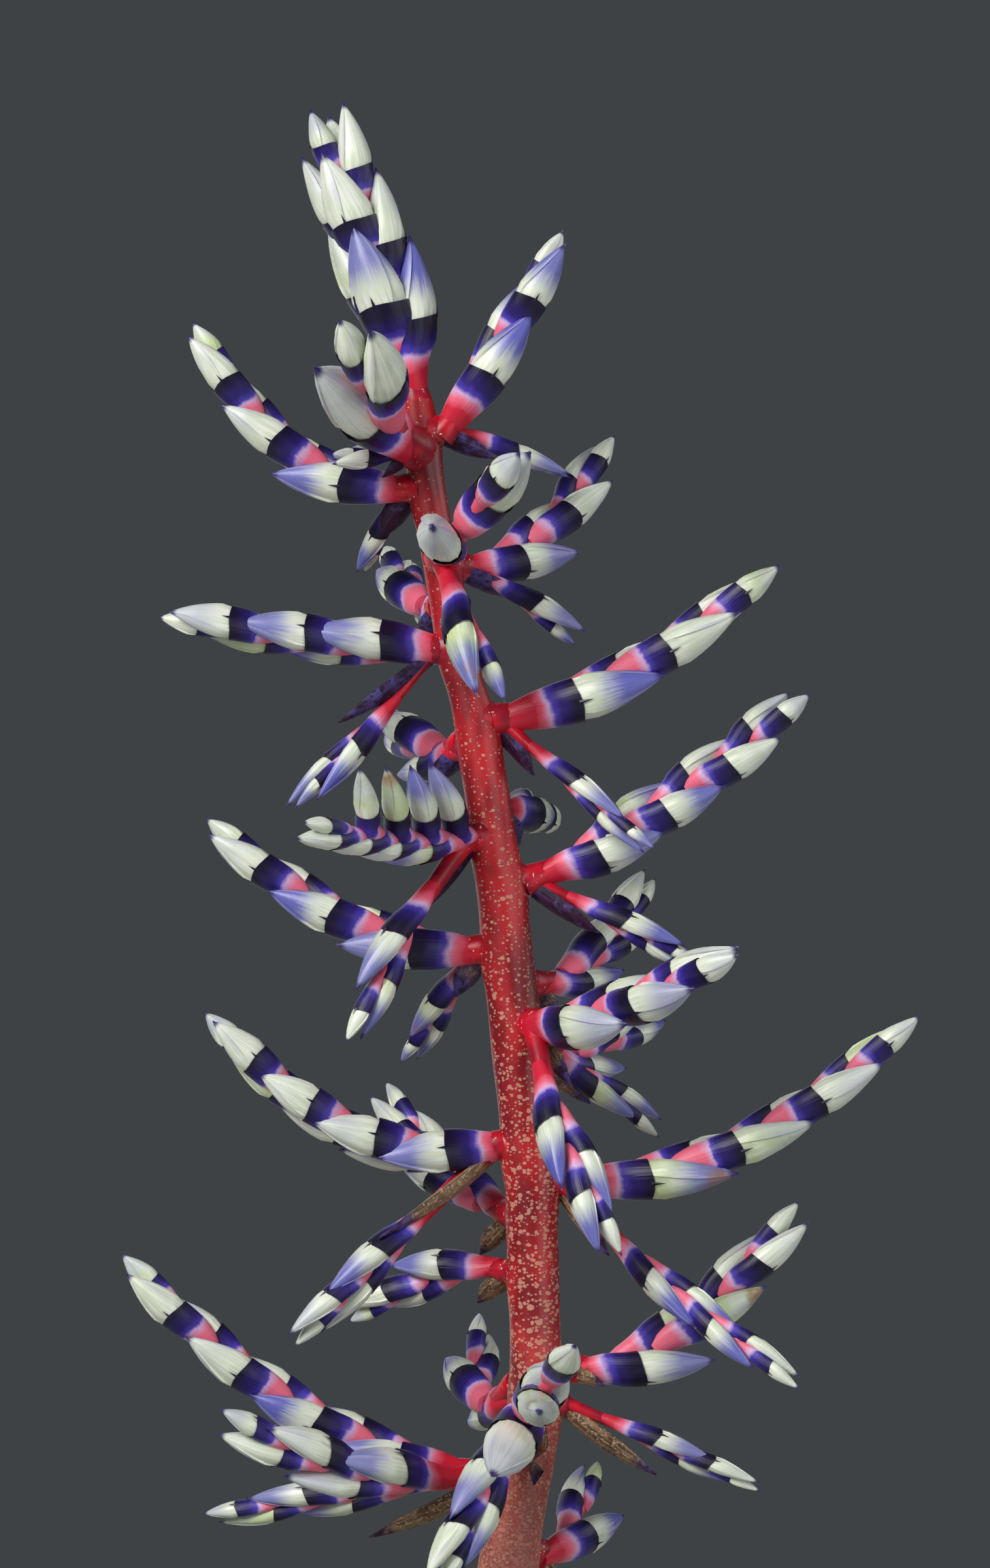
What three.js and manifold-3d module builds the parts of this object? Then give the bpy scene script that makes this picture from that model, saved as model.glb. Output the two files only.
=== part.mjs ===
// A potted bromeliad in flower: a clay pot of soil, a rosette of spiny strap leaves, and one tall
// red flower stem that carries two-ranked spikes of white flowers in violet bracts.
// Units are millimetres, +Z is up, and the origin is the centre of the pot's underside.
// Azimuths run from +X (right) towards +Y (away from the viewer), and the front faces -Y.
import * as THREE from "three";
import { mergeVertices } from "three/addons/utils/BufferGeometryUtils.js";
import Module from "manifold-3d";

const wasm = await Module();
wasm.setup();

const vec = (x, y, z) => new THREE.Vector3(x, y, z);
const UP = vec(0, 0, 1);
const FRONT = vec(0, -1, 0);

// Neighbouring pieces stand this far apart.
const GAP = 0.3;

// The pot, and the drain holes through its floor.
const POT = { height: 170, topRadius: 96, baseRadius: 63, wall: 8, floor: 10, facets: 24 };
const RIM = { height: 32, lip: 5, chamfer: 2 };
const DRAIN = { count: 4, radius: 5, ring: 36, sides: 8 };

// The soil, with one plain hole for the leaf bases and a deeper one for the stem.
const SOIL = { level: 150, crown: 3, crownHole: 37, crownHoleFloor: 138 };
const LUMPS = { height: 1.4, across: 0.31, away: 0.27 };
const STEM_HOLE = { radius: 8, floor: 110 };

// The flower stem's centreline, and its radius by height. It leaves the pot upright, leans right,
// then bends a little at each branch and leans left towards the top.
const STEM_LINE = [
  [0, STEM_HOLE.floor + GAP], [1, 180], [5, 265], [13, 350], [24, 440], [35, 520], [41, 556], [40.5, 606],
  [37, 640], [35, 663], [32, 686], [28.5, 709], [22, 738], [17, 767], [14, 788],
];
const STEM_RADIUS = [
  [110, 7.2], [520, 6.8], [557, 5.8], [663, 5.7], [709, 4.9], [722, 4.2], [788, 3.8],
];
const STEM = { sides: 8, steps: 22 };

// Dry bracts that clasp the bare part of the stem: height, azimuth in degrees and length.
const STEM_BRACTS = [
  { at: 250, azimuth: 200, length: 82 },
  { at: 318, azimuth: 335, length: 78 },
  { at: 386, azimuth: 110, length: 72 },
  { at: 450, azimuth: 245, length: 64 },
];
const STEM_BRACT = { width: 11, thickness: 1, lean: 0.1 };

// The leaves stand in three rings, from the upright young ones inside to the arching old ones.
// lean is a leaf's angle from the vertical at its base and at its tip, in degrees.
const LEAF_RINGS = [
  { count: 4, turn: 20, radius: 15, length: 275, lean: [4, 40], halfWidth: 21 },
  { count: 5, turn: 52, radius: 22, length: 345, lean: [9, 76], halfWidth: 25 },
  { count: 6, turn: 10, radius: 30, length: 400, lean: [16, 116], halfWidth: 27 },
];
const LEAF = {
  thickness: 1.5, tipThickness: 0.9, wrap: 0.44, sheath: 45, channel: 6, curl: 1.4,
  taper: 0.3, blunt: 0.14, lengthVaries: 0.07, leanVaries: 4, steps: 40,
};
// The spines on a leaf's edges. first and last are their places, and foot and end the places of the
// two plain sections before and after them, as shares of the leaf's length.
const SPINES = { count: 6, length: 3, base: 3, first: 0.17, last: 0.91, foot: 0.07, end: 0.955 };

// One flower in its bract, at full size, and the smaller one that ends a spike. Each station is a
// section's distance from the axis that carries the flower, its shift outwards, and its half depth
// and half width. The bract's rim has its point on the outer side, and on the inner side it lies
// seat above the upper edge of the face that the flower grows from. spread is the angle between a
// full flower and its spike, in degrees, and a slim spike's flowers spread less.
const FLOWER = {
  spread: 17, bractPoint: 1.8, seat: 1.4,
  rim: { reach: 9, shift: 1, depth: 3.9, width: 5.4 },
  shoulder: { reach: 16, shift: 1.6, depth: 2.8, width: 5.4 },
  tip: { reach: 23.4, shift: 0.3 },
};
const END_FLOWER = {
  spread: 0, bractPoint: 1.5,
  rim: { reach: 6, shift: 0, depth: 3.4, width: 4.2 },
  shoulder: { reach: 10.5, shift: 0, depth: 2.8, width: 3.8 },
  tip: { reach: 15, shift: 0 },
};
// A spike's flowers stand a pitch apart, by turns on its two sides, and shrink towards its tip.
const SPIKE = {
  pitch: 10, rootRadius: 3.4, stalkRadius: 3, axisRadius: 1.6, endRadius: 1.1, shrink: 0.24,
};
// A spike whose direction has a larger share than this towards or away from the viewer counts as
// seen from its end.
const END_ON = 0.8;
// The stub of a branch on the stem, and the bract under it.
const FORK = { reach: 1.6, radius: 3.6, sides: 5, nose: 1.8, noseRadius: 2.2 };
const BRANCH_BRACT = { width: 3.2, thickness: 0.6, drop: 1.5, facing: vec(0, 0.6, 1) };
// A bract's sections: share of its length, and share of its full width.
const LANCE = [[0, 0.75], [0.4, 1], [0.75, 0.6]];

// The branches, from the top of the stem down. at is the height where a branch leaves the stem.
// Each spike runs from there past via to its tip, both measured from the stem's centreline as
// [right, away, up]. size scales its flowers and slim their breadth alone, bare is the share of its
// length that has none, and roll turns its two ranks from flat to the viewer (0) to edge on, with
// the first flower in front (-90) or behind (90). spread opens the first rank's flowers wider.
// bract is the tip of the long bract below the branch.
const BRANCHES = [
  { at: 781, bract: [17, 2, -6], spikes: [
    { via: [16, 0, 14], tip: [32, -3, 44], size: 1, bare: 0.16, roll: -70 },
    { via: [16, 5, 0], tip: [33, 9, -10], size: 0.8, bare: 0.36, roll: -60, slim: 0.62 } ] },
  { at: 777, bract: [-9, -9, -7], spikes: [
    { via: [-9, -24, 5], tip: [-14, -50, 25], size: 1.2, bare: 0.2, roll: 0, spread: 28 },
    { via: [-12, -9, -3], tip: [-19, -16, -2], size: 0.6, bare: 0.2, roll: 60, slim: 0.9 } ] },
  { at: 768, bract: [-11, 6, -11], spikes: [
    { via: [-33, 4, 0], tip: [-53, 4, 37], size: 0.95, bare: 0.1, roll: -105 },
    { via: [-8, 8, -5], tip: [-15, 14, -18], size: 0.7, bare: 0.34, roll: -60, slim: 0.75 } ] },
  { at: 752, bract: [7, -12, -12], spikes: [
    { via: [3, -24, 3], tip: [18, -54, 20], size: 1.2, bare: 0.24, roll: 30, spread: 26 },
    { via: [4, -19, -11], tip: [14, -25, -32], size: 1, bare: 0.4, roll: -30, slim: 0.95 } ] },
  { at: 750, bract: [18, 5, -7], spikes: [
    { via: [23, 15, 1], tip: [39, 31, 31], size: 0.95, bare: 0.12, roll: -45 },
    { via: [15, 4, -4], tip: [30, 6, -17], size: 0.75, bare: 0.42, roll: -140, slim: 0.8 } ] },
  { at: 741, bract: [-6, 14, -8], spikes: [
    { via: [-8, 22, -1], tip: [-15, 50, 15], size: 0.95, bare: 0.14, roll: 20 } ] },
  { at: 731, bract: [-27, -10, -17], spikes: [
    { via: [-33, -3, 2], tip: [-66, -8, 7], size: 1, bare: 0.07, roll: -70 },
    { via: [-16, -4, -15], tip: [-36, -11, -35], size: 0.9, bare: 0.46, roll: -130, slim: 0.65 } ] },
  { at: 715, bract: [14, -3, -13], spikes: [
    { via: [34, -2, 5], tip: [68, -5, 34], size: 1.18, bare: 0.13, roll: -80, slim: 0.9 },
    { via: [22, -6, -15], tip: [40, -15, -29], size: 0.85, bare: 0.36, roll: -130, slim: 0.6 } ] },
  { at: 709, bract: [-11, 10, -9], spikes: [
    { via: [-13, 16, -4], tip: [-22, 42, 8], size: 1, bare: 0.14, roll: 65 } ] },
  { at: 694, bract: [7, 14, -8], spikes: [
    { via: [8, 22, 1], tip: [13, 54, -2], size: 0.9, bare: 0.2, roll: 30 } ] },
  { at: 688, bract: [-15, -9, -16], spikes: [
    { via: [-16, -15, -2], tip: [-41, -44, 3], size: 0.82, bare: 0.08, roll: -15, spread: 56 },
    { via: [-16, -14, -12], tip: [-32, -20, -45], size: 0.9, bare: 0.42, roll: -40, slim: 0.85 } ] },
  { at: 678, bract: [23, -3, -12], spikes: [
    { via: [35, 3, 12], tip: [70, 5, 42], size: 0.9, bare: 0.13, roll: -40, slim: 1.15 },
    { via: [27, -2, -9], tip: [45, -4, -19], size: 0.85, bare: 0.4, roll: -130, slim: 0.65 } ] },
  { at: 662, bract: [-12, 6, -11], spikes: [
    { via: [-35, 4, -1], tip: [-68, 7, 29], size: 1, bare: 0.09, roll: -105 },
    { via: [-11, 10, -8], tip: [-24, 22, -26], size: 0.8, bare: 0.3, roll: -40, slim: 0.8 } ] },
  { at: 654, bract: [11, 12, -9], spikes: [
    { via: [18, 18, 0], tip: [33, 42, 23], size: 0.95, bare: 0.16, roll: 20 } ] },
  { at: 645, bract: [13, -8, -14], spikes: [
    { via: [17, -21, 0], tip: [48, -44, 17], size: 1.1, bare: 0.12, roll: -70 },
    { via: [7, -24, -19], tip: [23, -30, -49], size: 0.95, bare: 0.34, roll: -30, slim: 0.9 } ] },
  { at: 638, bract: [17, 11, -12], spikes: [
    { via: [16, 14, -4], tip: [34, 37, 11], size: 0.9, bare: 0.16, roll: 20 },
    { via: [15, 9, -3], tip: [32, 15, -19], size: 0.8, bare: 0.24, roll: -40, slim: 0.8 } ] },
  { at: 617, bract: [-34, -14, -20], spikes: [
    { via: [-40, -4, -7], tip: [-72, -9, 30], size: 0.92, bare: 0.06, roll: -75, slim: 1.08 },
    { via: [-25, -8, -16], tip: [-52, -15, -43], size: 0.9, bare: 0.46, roll: -40, slim: 0.8 } ] },
  { at: 609, bract: [18, -3, -17], spikes: [
    { via: [46, 0, -2], tip: [87, -4, 37], size: 1.15, bare: 0.12, roll: -78, slim: 0.84 },
    { via: [27, -14, -22], tip: [59, -30, -43], size: 0.95, bare: 0.33, roll: -45, slim: 0.68 } ] },
  { at: 601, bract: [-12, 12, -10], spikes: [
    { via: [-19, 20, 2], tip: [-34, 42, 27], size: 0.95, bare: 0.14, roll: 30 } ] },
  { at: 588, bract: [-13, 10, -8], spikes: [
    { via: [-20, 11, 2], tip: [-42, 21, -13], size: 0.8, bare: 0.2, roll: -40 } ] },
  { at: 566, bract: [16, 0, -4], spikes: [
    { via: [30, 6, -3], tip: [60, 8, 36], size: 1, bare: 0.13, roll: -40 } ] },
  { at: 561, bract: [-4, 14, -9], spikes: [
    { via: [-17, 22, -13], tip: [-12, 46, 12], size: 0.95, bare: 0.2, roll: 30 } ] },
  { at: 558, bract: [28, -4, -16], spikes: [
    { via: [30, -5, -9], tip: [50, -11, -18], size: 0.8, bare: 0.34, roll: -130, slim: 0.6 } ] },
  { at: 557, bract: [0, -14, -16], spikes: [
    { via: [-4, -28, -2], tip: [8, -64, 20], size: 1.2, bare: 0.12, roll: 60, spread: 26 },
    { via: [-10, -21, -13], tip: [-21, -30, -36], size: 0.95, bare: 0.24, roll: -30, slim: 0.95 } ] },
  { at: 542, bract: [-36, 8, -16], spikes: [
    { via: [-47, 0, 1], tip: [-91, -4, 49], size: 1, bare: 0.14, roll: -105 },
    { via: [-35, -19, -4], tip: [-67, -28, 17], size: 1, bare: 0.26, roll: -30 },
    { via: [-36, 12, -6], tip: [-73, 17, -12], size: 0.95, bare: 0.26, roll: -40, slim: 0.75 } ] },
  { at: 523, bract: [11, 12, -9], spikes: [
    { via: [15, 14, -2], tip: [20, 38, 16], size: 0.95, bare: 0.2, roll: 20 } ] },
];
// The spike that ends the stem has flowers on all four sides: two pairs of ranks on one axis.
const TOP_SPIKE = { via: [-5, 0, 24], tip: [-23, 0, 65], size: 1.06 };
const TOP_RANKS = [{ bare: 0.13, roll: -5 }, { bare: 0.2, roll: -112 }];

const material = (color, roughness) =>
  new THREE.MeshStandardMaterial({ color, roughness, metalness: 0 });
const CLAY = material(0xb4653f, 0.85);
const EARTH = material(0x3d2c1f, 0.95);
const LEAF_GREEN = material(0x4f7a3a, 0.5);
const STEM_RED = material(0xb5282c, 0.6);
const SPIKE_WHITE = material(0xdfe3d2, 0.4);

// A fixed wave between -1 and 1, for what differs a little from one copy to the next.
const vary = (index, seed) => Math.sin(index * 12.9898 + seed * 78.233);

// Straight-line reading of a list of [position, value] pairs.
function readTable(table, position) {
  const next = table.findIndex(([at]) => at > position);
  if (next < 1) return next === 0 ? table[0][1] : table.at(-1)[1];
  const [[from, low], [to, high]] = [table[next - 1], table[next]];
  return low + ((high - low) * (position - from)) / (to - from);
}

// A closed geometry from points and triangles, turned to face outwards.
function closedGeometry(points, triangles) {
  const volume = triangles.reduce((sum, [a, b, c]) =>
    sum + points[a].dot(vec(0, 0, 0).crossVectors(points[b], points[c])), 0);
  const faces = volume < 0 ? triangles.map(([a, b, c]) => [a, c, b]) : triangles;
  const geometry = new THREE.BufferGeometry().setFromPoints(points);
  return geometry.setIndex(faces.flat());
}

// The skin between rings of equal point counts. A last ring of one point is a tip.
function loft(rings) {
  const points = rings.flat();
  const triangles = [];
  let start = 0;
  rings.slice(1).forEach((ring, index) => {
    const count = rings[index].length;
    const next = start + count;
    for (let i = 0; i < count; i++) {
      const j = (i + 1) % count;
      if (ring.length === 1) triangles.push([start + i, start + j, next]);
      else triangles.push([start + i, start + j, next + j], [start + i, next + j, next + i]);
    }
    start = next;
  });
  for (let i = 1; i < rings[0].length - 1; i++) triangles.push([0, i + 1, i]);
  for (let i = 1; i < rings.at(-1).length - 1; i++) triangles.push([start, start + i, start + i + 1]);
  return closedGeometry(points, triangles);
}

// An ellipse of points round a centre, with half axes a along u and b along v. The first point
// stands turn of a step round from u.
function oval(centre, u, v, a, b, sides, turn = 0) {
  return Array.from({ length: sides }, (_, i) => {
    const angle = (2 * Math.PI * (i + turn)) / sides;
    return centre.clone().addScaledVector(u, a * Math.cos(angle)).addScaledVector(v, b * Math.sin(angle));
  });
}

function toSolid(geometry) {
  const bare = geometry.clone();
  bare.deleteAttribute("normal");
  bare.deleteAttribute("uv");
  const merged = mergeVertices(bare, 1e-4);
  return new wasm.Manifold(new wasm.Mesh({
    numProp: 3,
    vertProperties: merged.attributes.position.array,
    triVerts: new Uint32Array(merged.index.array),
  }));
}

function toGeometry(solid) {
  const mesh = solid.getMesh();
  return new THREE.BufferGeometry()
    .setAttribute("position", new THREE.BufferAttribute(mesh.vertProperties, 3))
    .setIndex(new THREE.BufferAttribute(mesh.triVerts, 1));
}

const fuse = (solids) => solids.slice(1).reduce((whole, next) => whole.add(next), solids[0]);

// The largest body of a solid, without loose scraps and sealed hollows.
const mainBody = (solid) => solid.decompose().reduce((best, next) =>
  (next.volume() > best.volume() ? next : best));

function addMesh(group, name, geometry, surface) {
  const mesh = new THREE.Mesh(geometry, surface);
  mesh.name = name;
  group.add(mesh);
}

// The radius of the pot's inner wall at a height.
function potInside(height) {
  const share = height / POT.height;
  return POT.baseRadius + (POT.topRadius - RIM.lip - POT.baseRadius) * share - POT.wall;
}

function lathe(profile) {
  const spun = new THREE.LatheGeometry(profile.map(([r, z]) => new THREE.Vector2(r, z)), POT.facets);
  return spun.rotateX(Math.PI / 2);
}

function pot() {
  const rimBase = POT.height - RIM.height;
  const wallTop = potInside(rimBase) + POT.wall;
  const body = toSolid(lathe([
    [0, 0], [POT.baseRadius, 0], [wallTop, rimBase], [POT.topRadius - RIM.chamfer, rimBase + RIM.chamfer],
    [POT.topRadius, POT.height - RIM.chamfer], [POT.topRadius - RIM.chamfer, POT.height],
    [potInside(POT.height), POT.height], [potInside(POT.floor), POT.floor], [0, POT.floor],
  ]));
  const holes = Array.from({ length: DRAIN.count }, (_, i) => {
    const angle = ((i + 0.5) * 2 * Math.PI) / DRAIN.count;
    const drill = new THREE.CylinderGeometry(DRAIN.radius, DRAIN.radius, 3 * POT.floor, DRAIN.sides);
    drill.rotateX(Math.PI / 2).translate(DRAIN.ring * Math.cos(angle), DRAIN.ring * Math.sin(angle), 0);
    return toSolid(drill);
  });
  return toGeometry(body.subtract(fuse(holes)));
}

function soil() {
  const floor = POT.floor + GAP;
  const edge = SOIL.level - SOIL.crown;
  const [crownHole, crownFloor] = [SOIL.crownHole, SOIL.crownHoleFloor];
  const profile = [
    [0, floor], [potInside(floor) - GAP, floor], [potInside(edge) - GAP, edge],
    [(potInside(edge) + crownHole) / 2, SOIL.level], [crownHole, SOIL.level],
    [crownHole, crownFloor], [STEM_HOLE.radius, crownFloor], [STEM_HOLE.radius, STEM_HOLE.floor],
    [0, STEM_HOLE.floor],
  ];
  const body = lathe(profile);
  const place = body.attributes.position;
  for (let i = 0; i < place.count; i++) {
    const [x, y, z] = [place.getX(i), place.getY(i), place.getZ(i)];
    const lump = LUMPS.height * Math.sin(x * LUMPS.across) * Math.cos(y * LUMPS.away);
    if (z > edge + GAP) place.setZ(i, z + lump);
  }
  return body;
}

const stemPoints = STEM_LINE.map(([x, z]) => vec(x, 0, z));
const stemCurve = new THREE.CatmullRomCurve3(stemPoints, false, "catmullrom", 0.5);
const stemSamples = stemCurve.getPoints(600);

// The stem's centre at a height.
function stemAt(height) {
  const next = stemSamples.findIndex((point) => point.z >= height);
  return (next < 0 ? stemSamples.at(-1) : stemSamples[next]).clone();
}

const stemRadius = (height) => readTable(STEM_RADIUS, height);

// The stem's tube, thickened by extra. Its centreline lies in the plane square to the front.
function stemTube(extra) {
  const rings = Array.from({ length: STEM.steps + 1 }, (_, i) => {
    const centre = stemCurve.getPointAt(i / STEM.steps);
    const side = vec(0, 0, 0).crossVectors(FRONT, stemCurve.getTangentAt(i / STEM.steps));
    const radius = stemRadius(centre.z) + extra;
    return oval(centre, side, FRONT, radius, radius, STEM.sides);
  });
  return toSolid(loft(rings));
}

// A lance-shaped bract from a foot to a tip: a flat four-sided section that swells, then narrows.
// width and thickness are half sizes, and one of its faces is turned to the direction facing.
function lance(foot, tip, width, thickness, facing) {
  const along = tip.clone().sub(foot);
  const across = vec(0, 0, 0).crossVectors(along, facing).normalize();
  const face = vec(0, 0, 0).crossVectors(across, along).normalize();
  const sections = LANCE.map(([share, scale]) =>
    oval(foot.clone().addScaledVector(along, share), across, face, width * scale, thickness, 4));
  return toSolid(loft([...sections, [tip]]));
}

function stem() {
  const bracts = STEM_BRACTS.map(({ at, azimuth, length }) => {
    const angle = THREE.MathUtils.degToRad(azimuth);
    const outward = vec(Math.cos(angle), Math.sin(angle), 0);
    const radius = stemRadius(at);
    const foot = stemAt(at).addScaledVector(outward, radius - STEM_BRACT.thickness / 2);
    const tip = stemAt(at + length).addScaledVector(outward, radius + STEM_BRACT.lean * length);
    return lance(foot, tip, STEM_BRACT.width / 2, STEM_BRACT.thickness, outward);
  });
  return toGeometry(fuse([stemTube(0), ...bracts]));
}

// A leaf's half width at a share of its length: the sheath's arc, the even strap, the blunt end.
function leafHalfWidth(share, ring, radius) {
  const strap = Math.min(ring.halfWidth, LEAF.wrap * radius);
  const end = Math.max(0, (share - 1 + LEAF.taper) / LEAF.taper);
  return strap * Math.max(LEAF.blunt, Math.sqrt(1 - end * end));
}

// The sections of a leaf, as shares of its length: a pair for each spine between plain ones.
function leafStations(length) {
  const half = SPINES.base / length / 2;
  const pairs = Array.from({ length: SPINES.count }, (_, i) => {
    const middle = SPINES.first + ((SPINES.last - SPINES.first) * i) / (SPINES.count - 1);
    return [middle - half, middle + half];
  });
  return [0, SPINES.foot, ...pairs.flat(), SPINES.end, 1];
}

// The sections of one leaf. Each has three points across its upper face and three below them. The
// leaf rises from its ring and leans further out all the way along. It is bent round the rosette's
// axis, and its edges stand up from the sheath on.
function leafPoints(ring, index, number, length, stations) {
  const azimuth = THREE.MathUtils.degToRad(ring.turn + (360 * index) / ring.count);
  const [first, last] = [ring.lean[0], ring.lean[1] + LEAF.leanVaries * vary(number, 2)];
  const leanAt = (share) => THREE.MathUtils.degToRad(first + (last - first) * share ** LEAF.curl);
  let [radius, height, done] = [ring.radius, SOIL.crownHoleFloor + GAP, 0];
  return stations.flatMap((share) => {
    const step = (share - done) / LEAF.steps;
    for (let i = 0; i < LEAF.steps; i++) {
      const lean = leanAt(done + step * (i + 0.5));
      radius += Math.sin(lean) * step * length;
      height += Math.cos(lean) * step * length;
    }
    done = share;
    const lean = leanAt(share);
    const halfWidth = leafHalfWidth(share, ring, radius);
    const opened = Math.min(1, Math.max(0, share * length - LEAF.sheath) / LEAF.sheath);
    const channel = LEAF.channel * opened * (halfWidth / ring.halfWidth);
    const thickness = share === 1 ? LEAF.tipThickness : LEAF.thickness;
    const place = (side, face) => {
      const turn = azimuth + (side * halfWidth) / radius;
      const rise = side * side * channel + (face * thickness) / 2;
      const reach = radius - Math.cos(lean) * rise;
      return vec(reach * Math.cos(turn), reach * Math.sin(turn), height + Math.sin(lean) * rise);
    };
    return [place(-1, 1), place(0, 1), place(1, 1), place(1, -1), place(0, -1), place(-1, -1)];
  });
}

// One leaf with its spines. A spine is a pyramid on a leaf's thin edge, between two sections.
function leaf(ring, index, number) {
  const length = ring.length * (1 + LEAF.lengthVaries * vary(number, 1));
  const stations = leafStations(length);
  const points = leafPoints(ring, index, number, length, stations);
  const triangles = [];
  const quad = (a, b, c, d) => triangles.push([a, b, c], [a, c, d]);
  const [EDGES, LOWER_FACE] = [[2, 5], [3, 4]];
  for (let section = 0; section < stations.length - 1; section++) {
    const [here, next] = [6 * section, 6 * (section + 1)];
    const spiny = section >= 2 && section % 2 === 0 && section < 2 + 2 * SPINES.count;
    for (let side = 0; side < 6; side++) {
      const other = (side + 1) % 6;
      const corners = [here + side, here + other, next + other, next + side];
      if (EDGES.includes(side) && spiny) {
        const middle = vec(0, 0, 0);
        corners.forEach((corner) => middle.addScaledVector(points[corner], 1 / 4));
        const inner = points[here + 1].clone().lerp(points[next + 1], 0.5);
        points.push(middle.clone().addScaledVector(middle.clone().sub(inner).normalize(), SPINES.length));
        corners.forEach((corner, i) => triangles.push([corner, corners[(i + 1) % 4], points.length - 1]));
      } else if (LOWER_FACE.includes(side)) {
        quad(corners[1], corners[2], corners[3], corners[0]);
      } else {
        quad(...corners);
      }
    }
  }
  const last = 6 * (stations.length - 1);
  quad(4, 1, 0, 5);
  quad(3, 2, 1, 4);
  quad(last + 5, last, last + 1, last + 4);
  quad(last + 4, last + 1, last + 2, last + 3);
  return closedGeometry(points, triangles);
}

// A flower in its bract, added to a mesh on the four corners of the face that it grows from. Its
// sections are squares, each turned by half a side from the one before. corners and the flower's
// first section run the same way round, and turn is where that section starts.
function addFlower(points, triangles, corners, place) {
  const { root, along, outward, shape, size, slim, turn, spread: angle = shape.spread * slim } = place;
  const spread = THREE.MathUtils.degToRad(angle);
  const across = vec(0, 0, 0).crossVectors(along, outward);
  const facing = along.clone().applyAxisAngle(across, spread);
  const out = outward.clone().applyAxisAngle(across, spread);
  const centre = ({ reach, shift }) => root.clone().addScaledVector(facing, reach * size)
    .addScaledVector(out, shift * size);
  const section = (station, start) => oval(centre(station), out, across, station.depth * size * slim,
    station.width * size * slim, 4, start);
  const rim = section(shape.rim, turn);
  rim[0].addScaledVector(facing, shape.bractPoint * size);
  if (shape.seat) {
    const upperEdge = points[corners[2]].clone().lerp(points[corners[3]], 0.5);
    rim[2].copy(upperEdge).addScaledVector(outward, shape.seat * size);
  }
  let below = corners;
  for (const ring of [rim, section(shape.shoulder, turn + 0.5)]) {
    const above = ring.map((_, i) => points.length + i);
    points.push(...ring);
    for (let i = 0; i < 4; i++) {
      const j = (i + 1) % 4;
      triangles.push([below[i], below[j], above[i]], [below[j], above[j], above[i]]);
    }
    below = above;
  }
  points.push(centre(shape.tip));
  below.forEach((corner, i) => triangles.push([corner, below[(i + 1) % 4], points.length - 1]));
}

// The sections of a spike's axis: places as shares of its length, and at each one its centre, its
// direction, its radius and the direction flank across it. Flank starts towards the viewer, or
// upwards on a spike seen from its end, is turned by a right angle and then by the spike's roll.
function spikeFrames(curve, places, reference, { bare, roll, size, slim }) {
  const radii = [[0, SPIKE.rootRadius], [bare / 2, SPIKE.stalkRadius], [bare, SPIKE.axisRadius],
    [places.at(-1), SPIKE.endRadius]];
  return places.map((place) => {
    const along = curve.getTangentAt(place);
    const face = reference.clone().addScaledVector(along, -reference.dot(along)).normalize();
    const flank = vec(0, 0, 0).crossVectors(along, face)
      .applyAxisAngle(along, THREE.MathUtils.degToRad(roll));
    return { root: curve.getPointAt(place), along, flank, radius: readTable(radii, place) * size * slim };
  });
}

// One spike as a single mesh: a square axis with flowers on two opposite sides by turns, and one on
// its end. Its stalk has two sections with no flower.
function spike(start, centre, made) {
  const { via, tip, size, bare, spread, slim = 1 } = made;
  const end = centre.clone().add(vec(...tip));
  const curve = new THREE.QuadraticBezierCurve3(start, centre.clone().add(vec(...via)), end);
  const length = curve.getLength();
  const endSize = size * (1 - SPIKE.shrink);
  const lastRing = 1 - (END_FLOWER.tip.reach * endSize) / length;
  const count = Math.max(1, Math.round(((lastRing - bare) * length) / (SPIKE.pitch * size)));
  const places = [0, bare / 2, ...Array.from({ length: count + 1 }, (_, i) =>
    bare + ((lastRing - bare) * i) / count)];
  const chord = end.clone().sub(start).normalize();
  const reference = Math.abs(chord.y) > END_ON ? UP : FRONT;
  const frames = spikeFrames(curve, places, reference, { slim, ...made });
  const points = frames.flatMap(({ root, along, flank, radius }) =>
    oval(root, flank, vec(0, 0, 0).crossVectors(along, flank), radius, radius, 4, 0.5));
  const triangles = [[0, 2, 1], [0, 3, 2]];
  const [FLANK_SIDE, OTHER_SIDE] = [3, 1];
  for (let ring = 0; ring < places.length - 1; ring++) {
    const number = ring - 2;
    const { root, along, flank } = frames[ring];
    const [flowerSide, outward] = number % 2 === 0
      ? [FLANK_SIDE, flank] : [OTHER_SIDE, flank.clone().negate()];
    for (let side = 0; side < 4; side++) {
      const other = (side + 1) % 4;
      const corners = [4 * ring + side, 4 * ring + other, 4 * ring + 4 + other, 4 * ring + 4 + side];
      if (number >= 0 && side === flowerSide) {
        addFlower(points, triangles, corners, {
          root, along, outward, shape: FLOWER, size: size * (1 - (SPIKE.shrink * number) / count),
          slim, spread: number % 2 === 0 ? spread : undefined, turn: 0,
        });
      } else {
        triangles.push([corners[0], corners[1], corners[2]], [corners[0], corners[2], corners[3]]);
      }
    }
  }
  const { root, along, flank } = frames.at(-1);
  const top = 4 * (places.length - 1);
  addFlower(points, triangles, [top, top + 1, top + 2, top + 3],
    { root, along, outward: flank, shape: END_FLOWER, size: endSize, slim, turn: 1 });
  return toSolid(closedGeometry(points, triangles));
}

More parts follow.
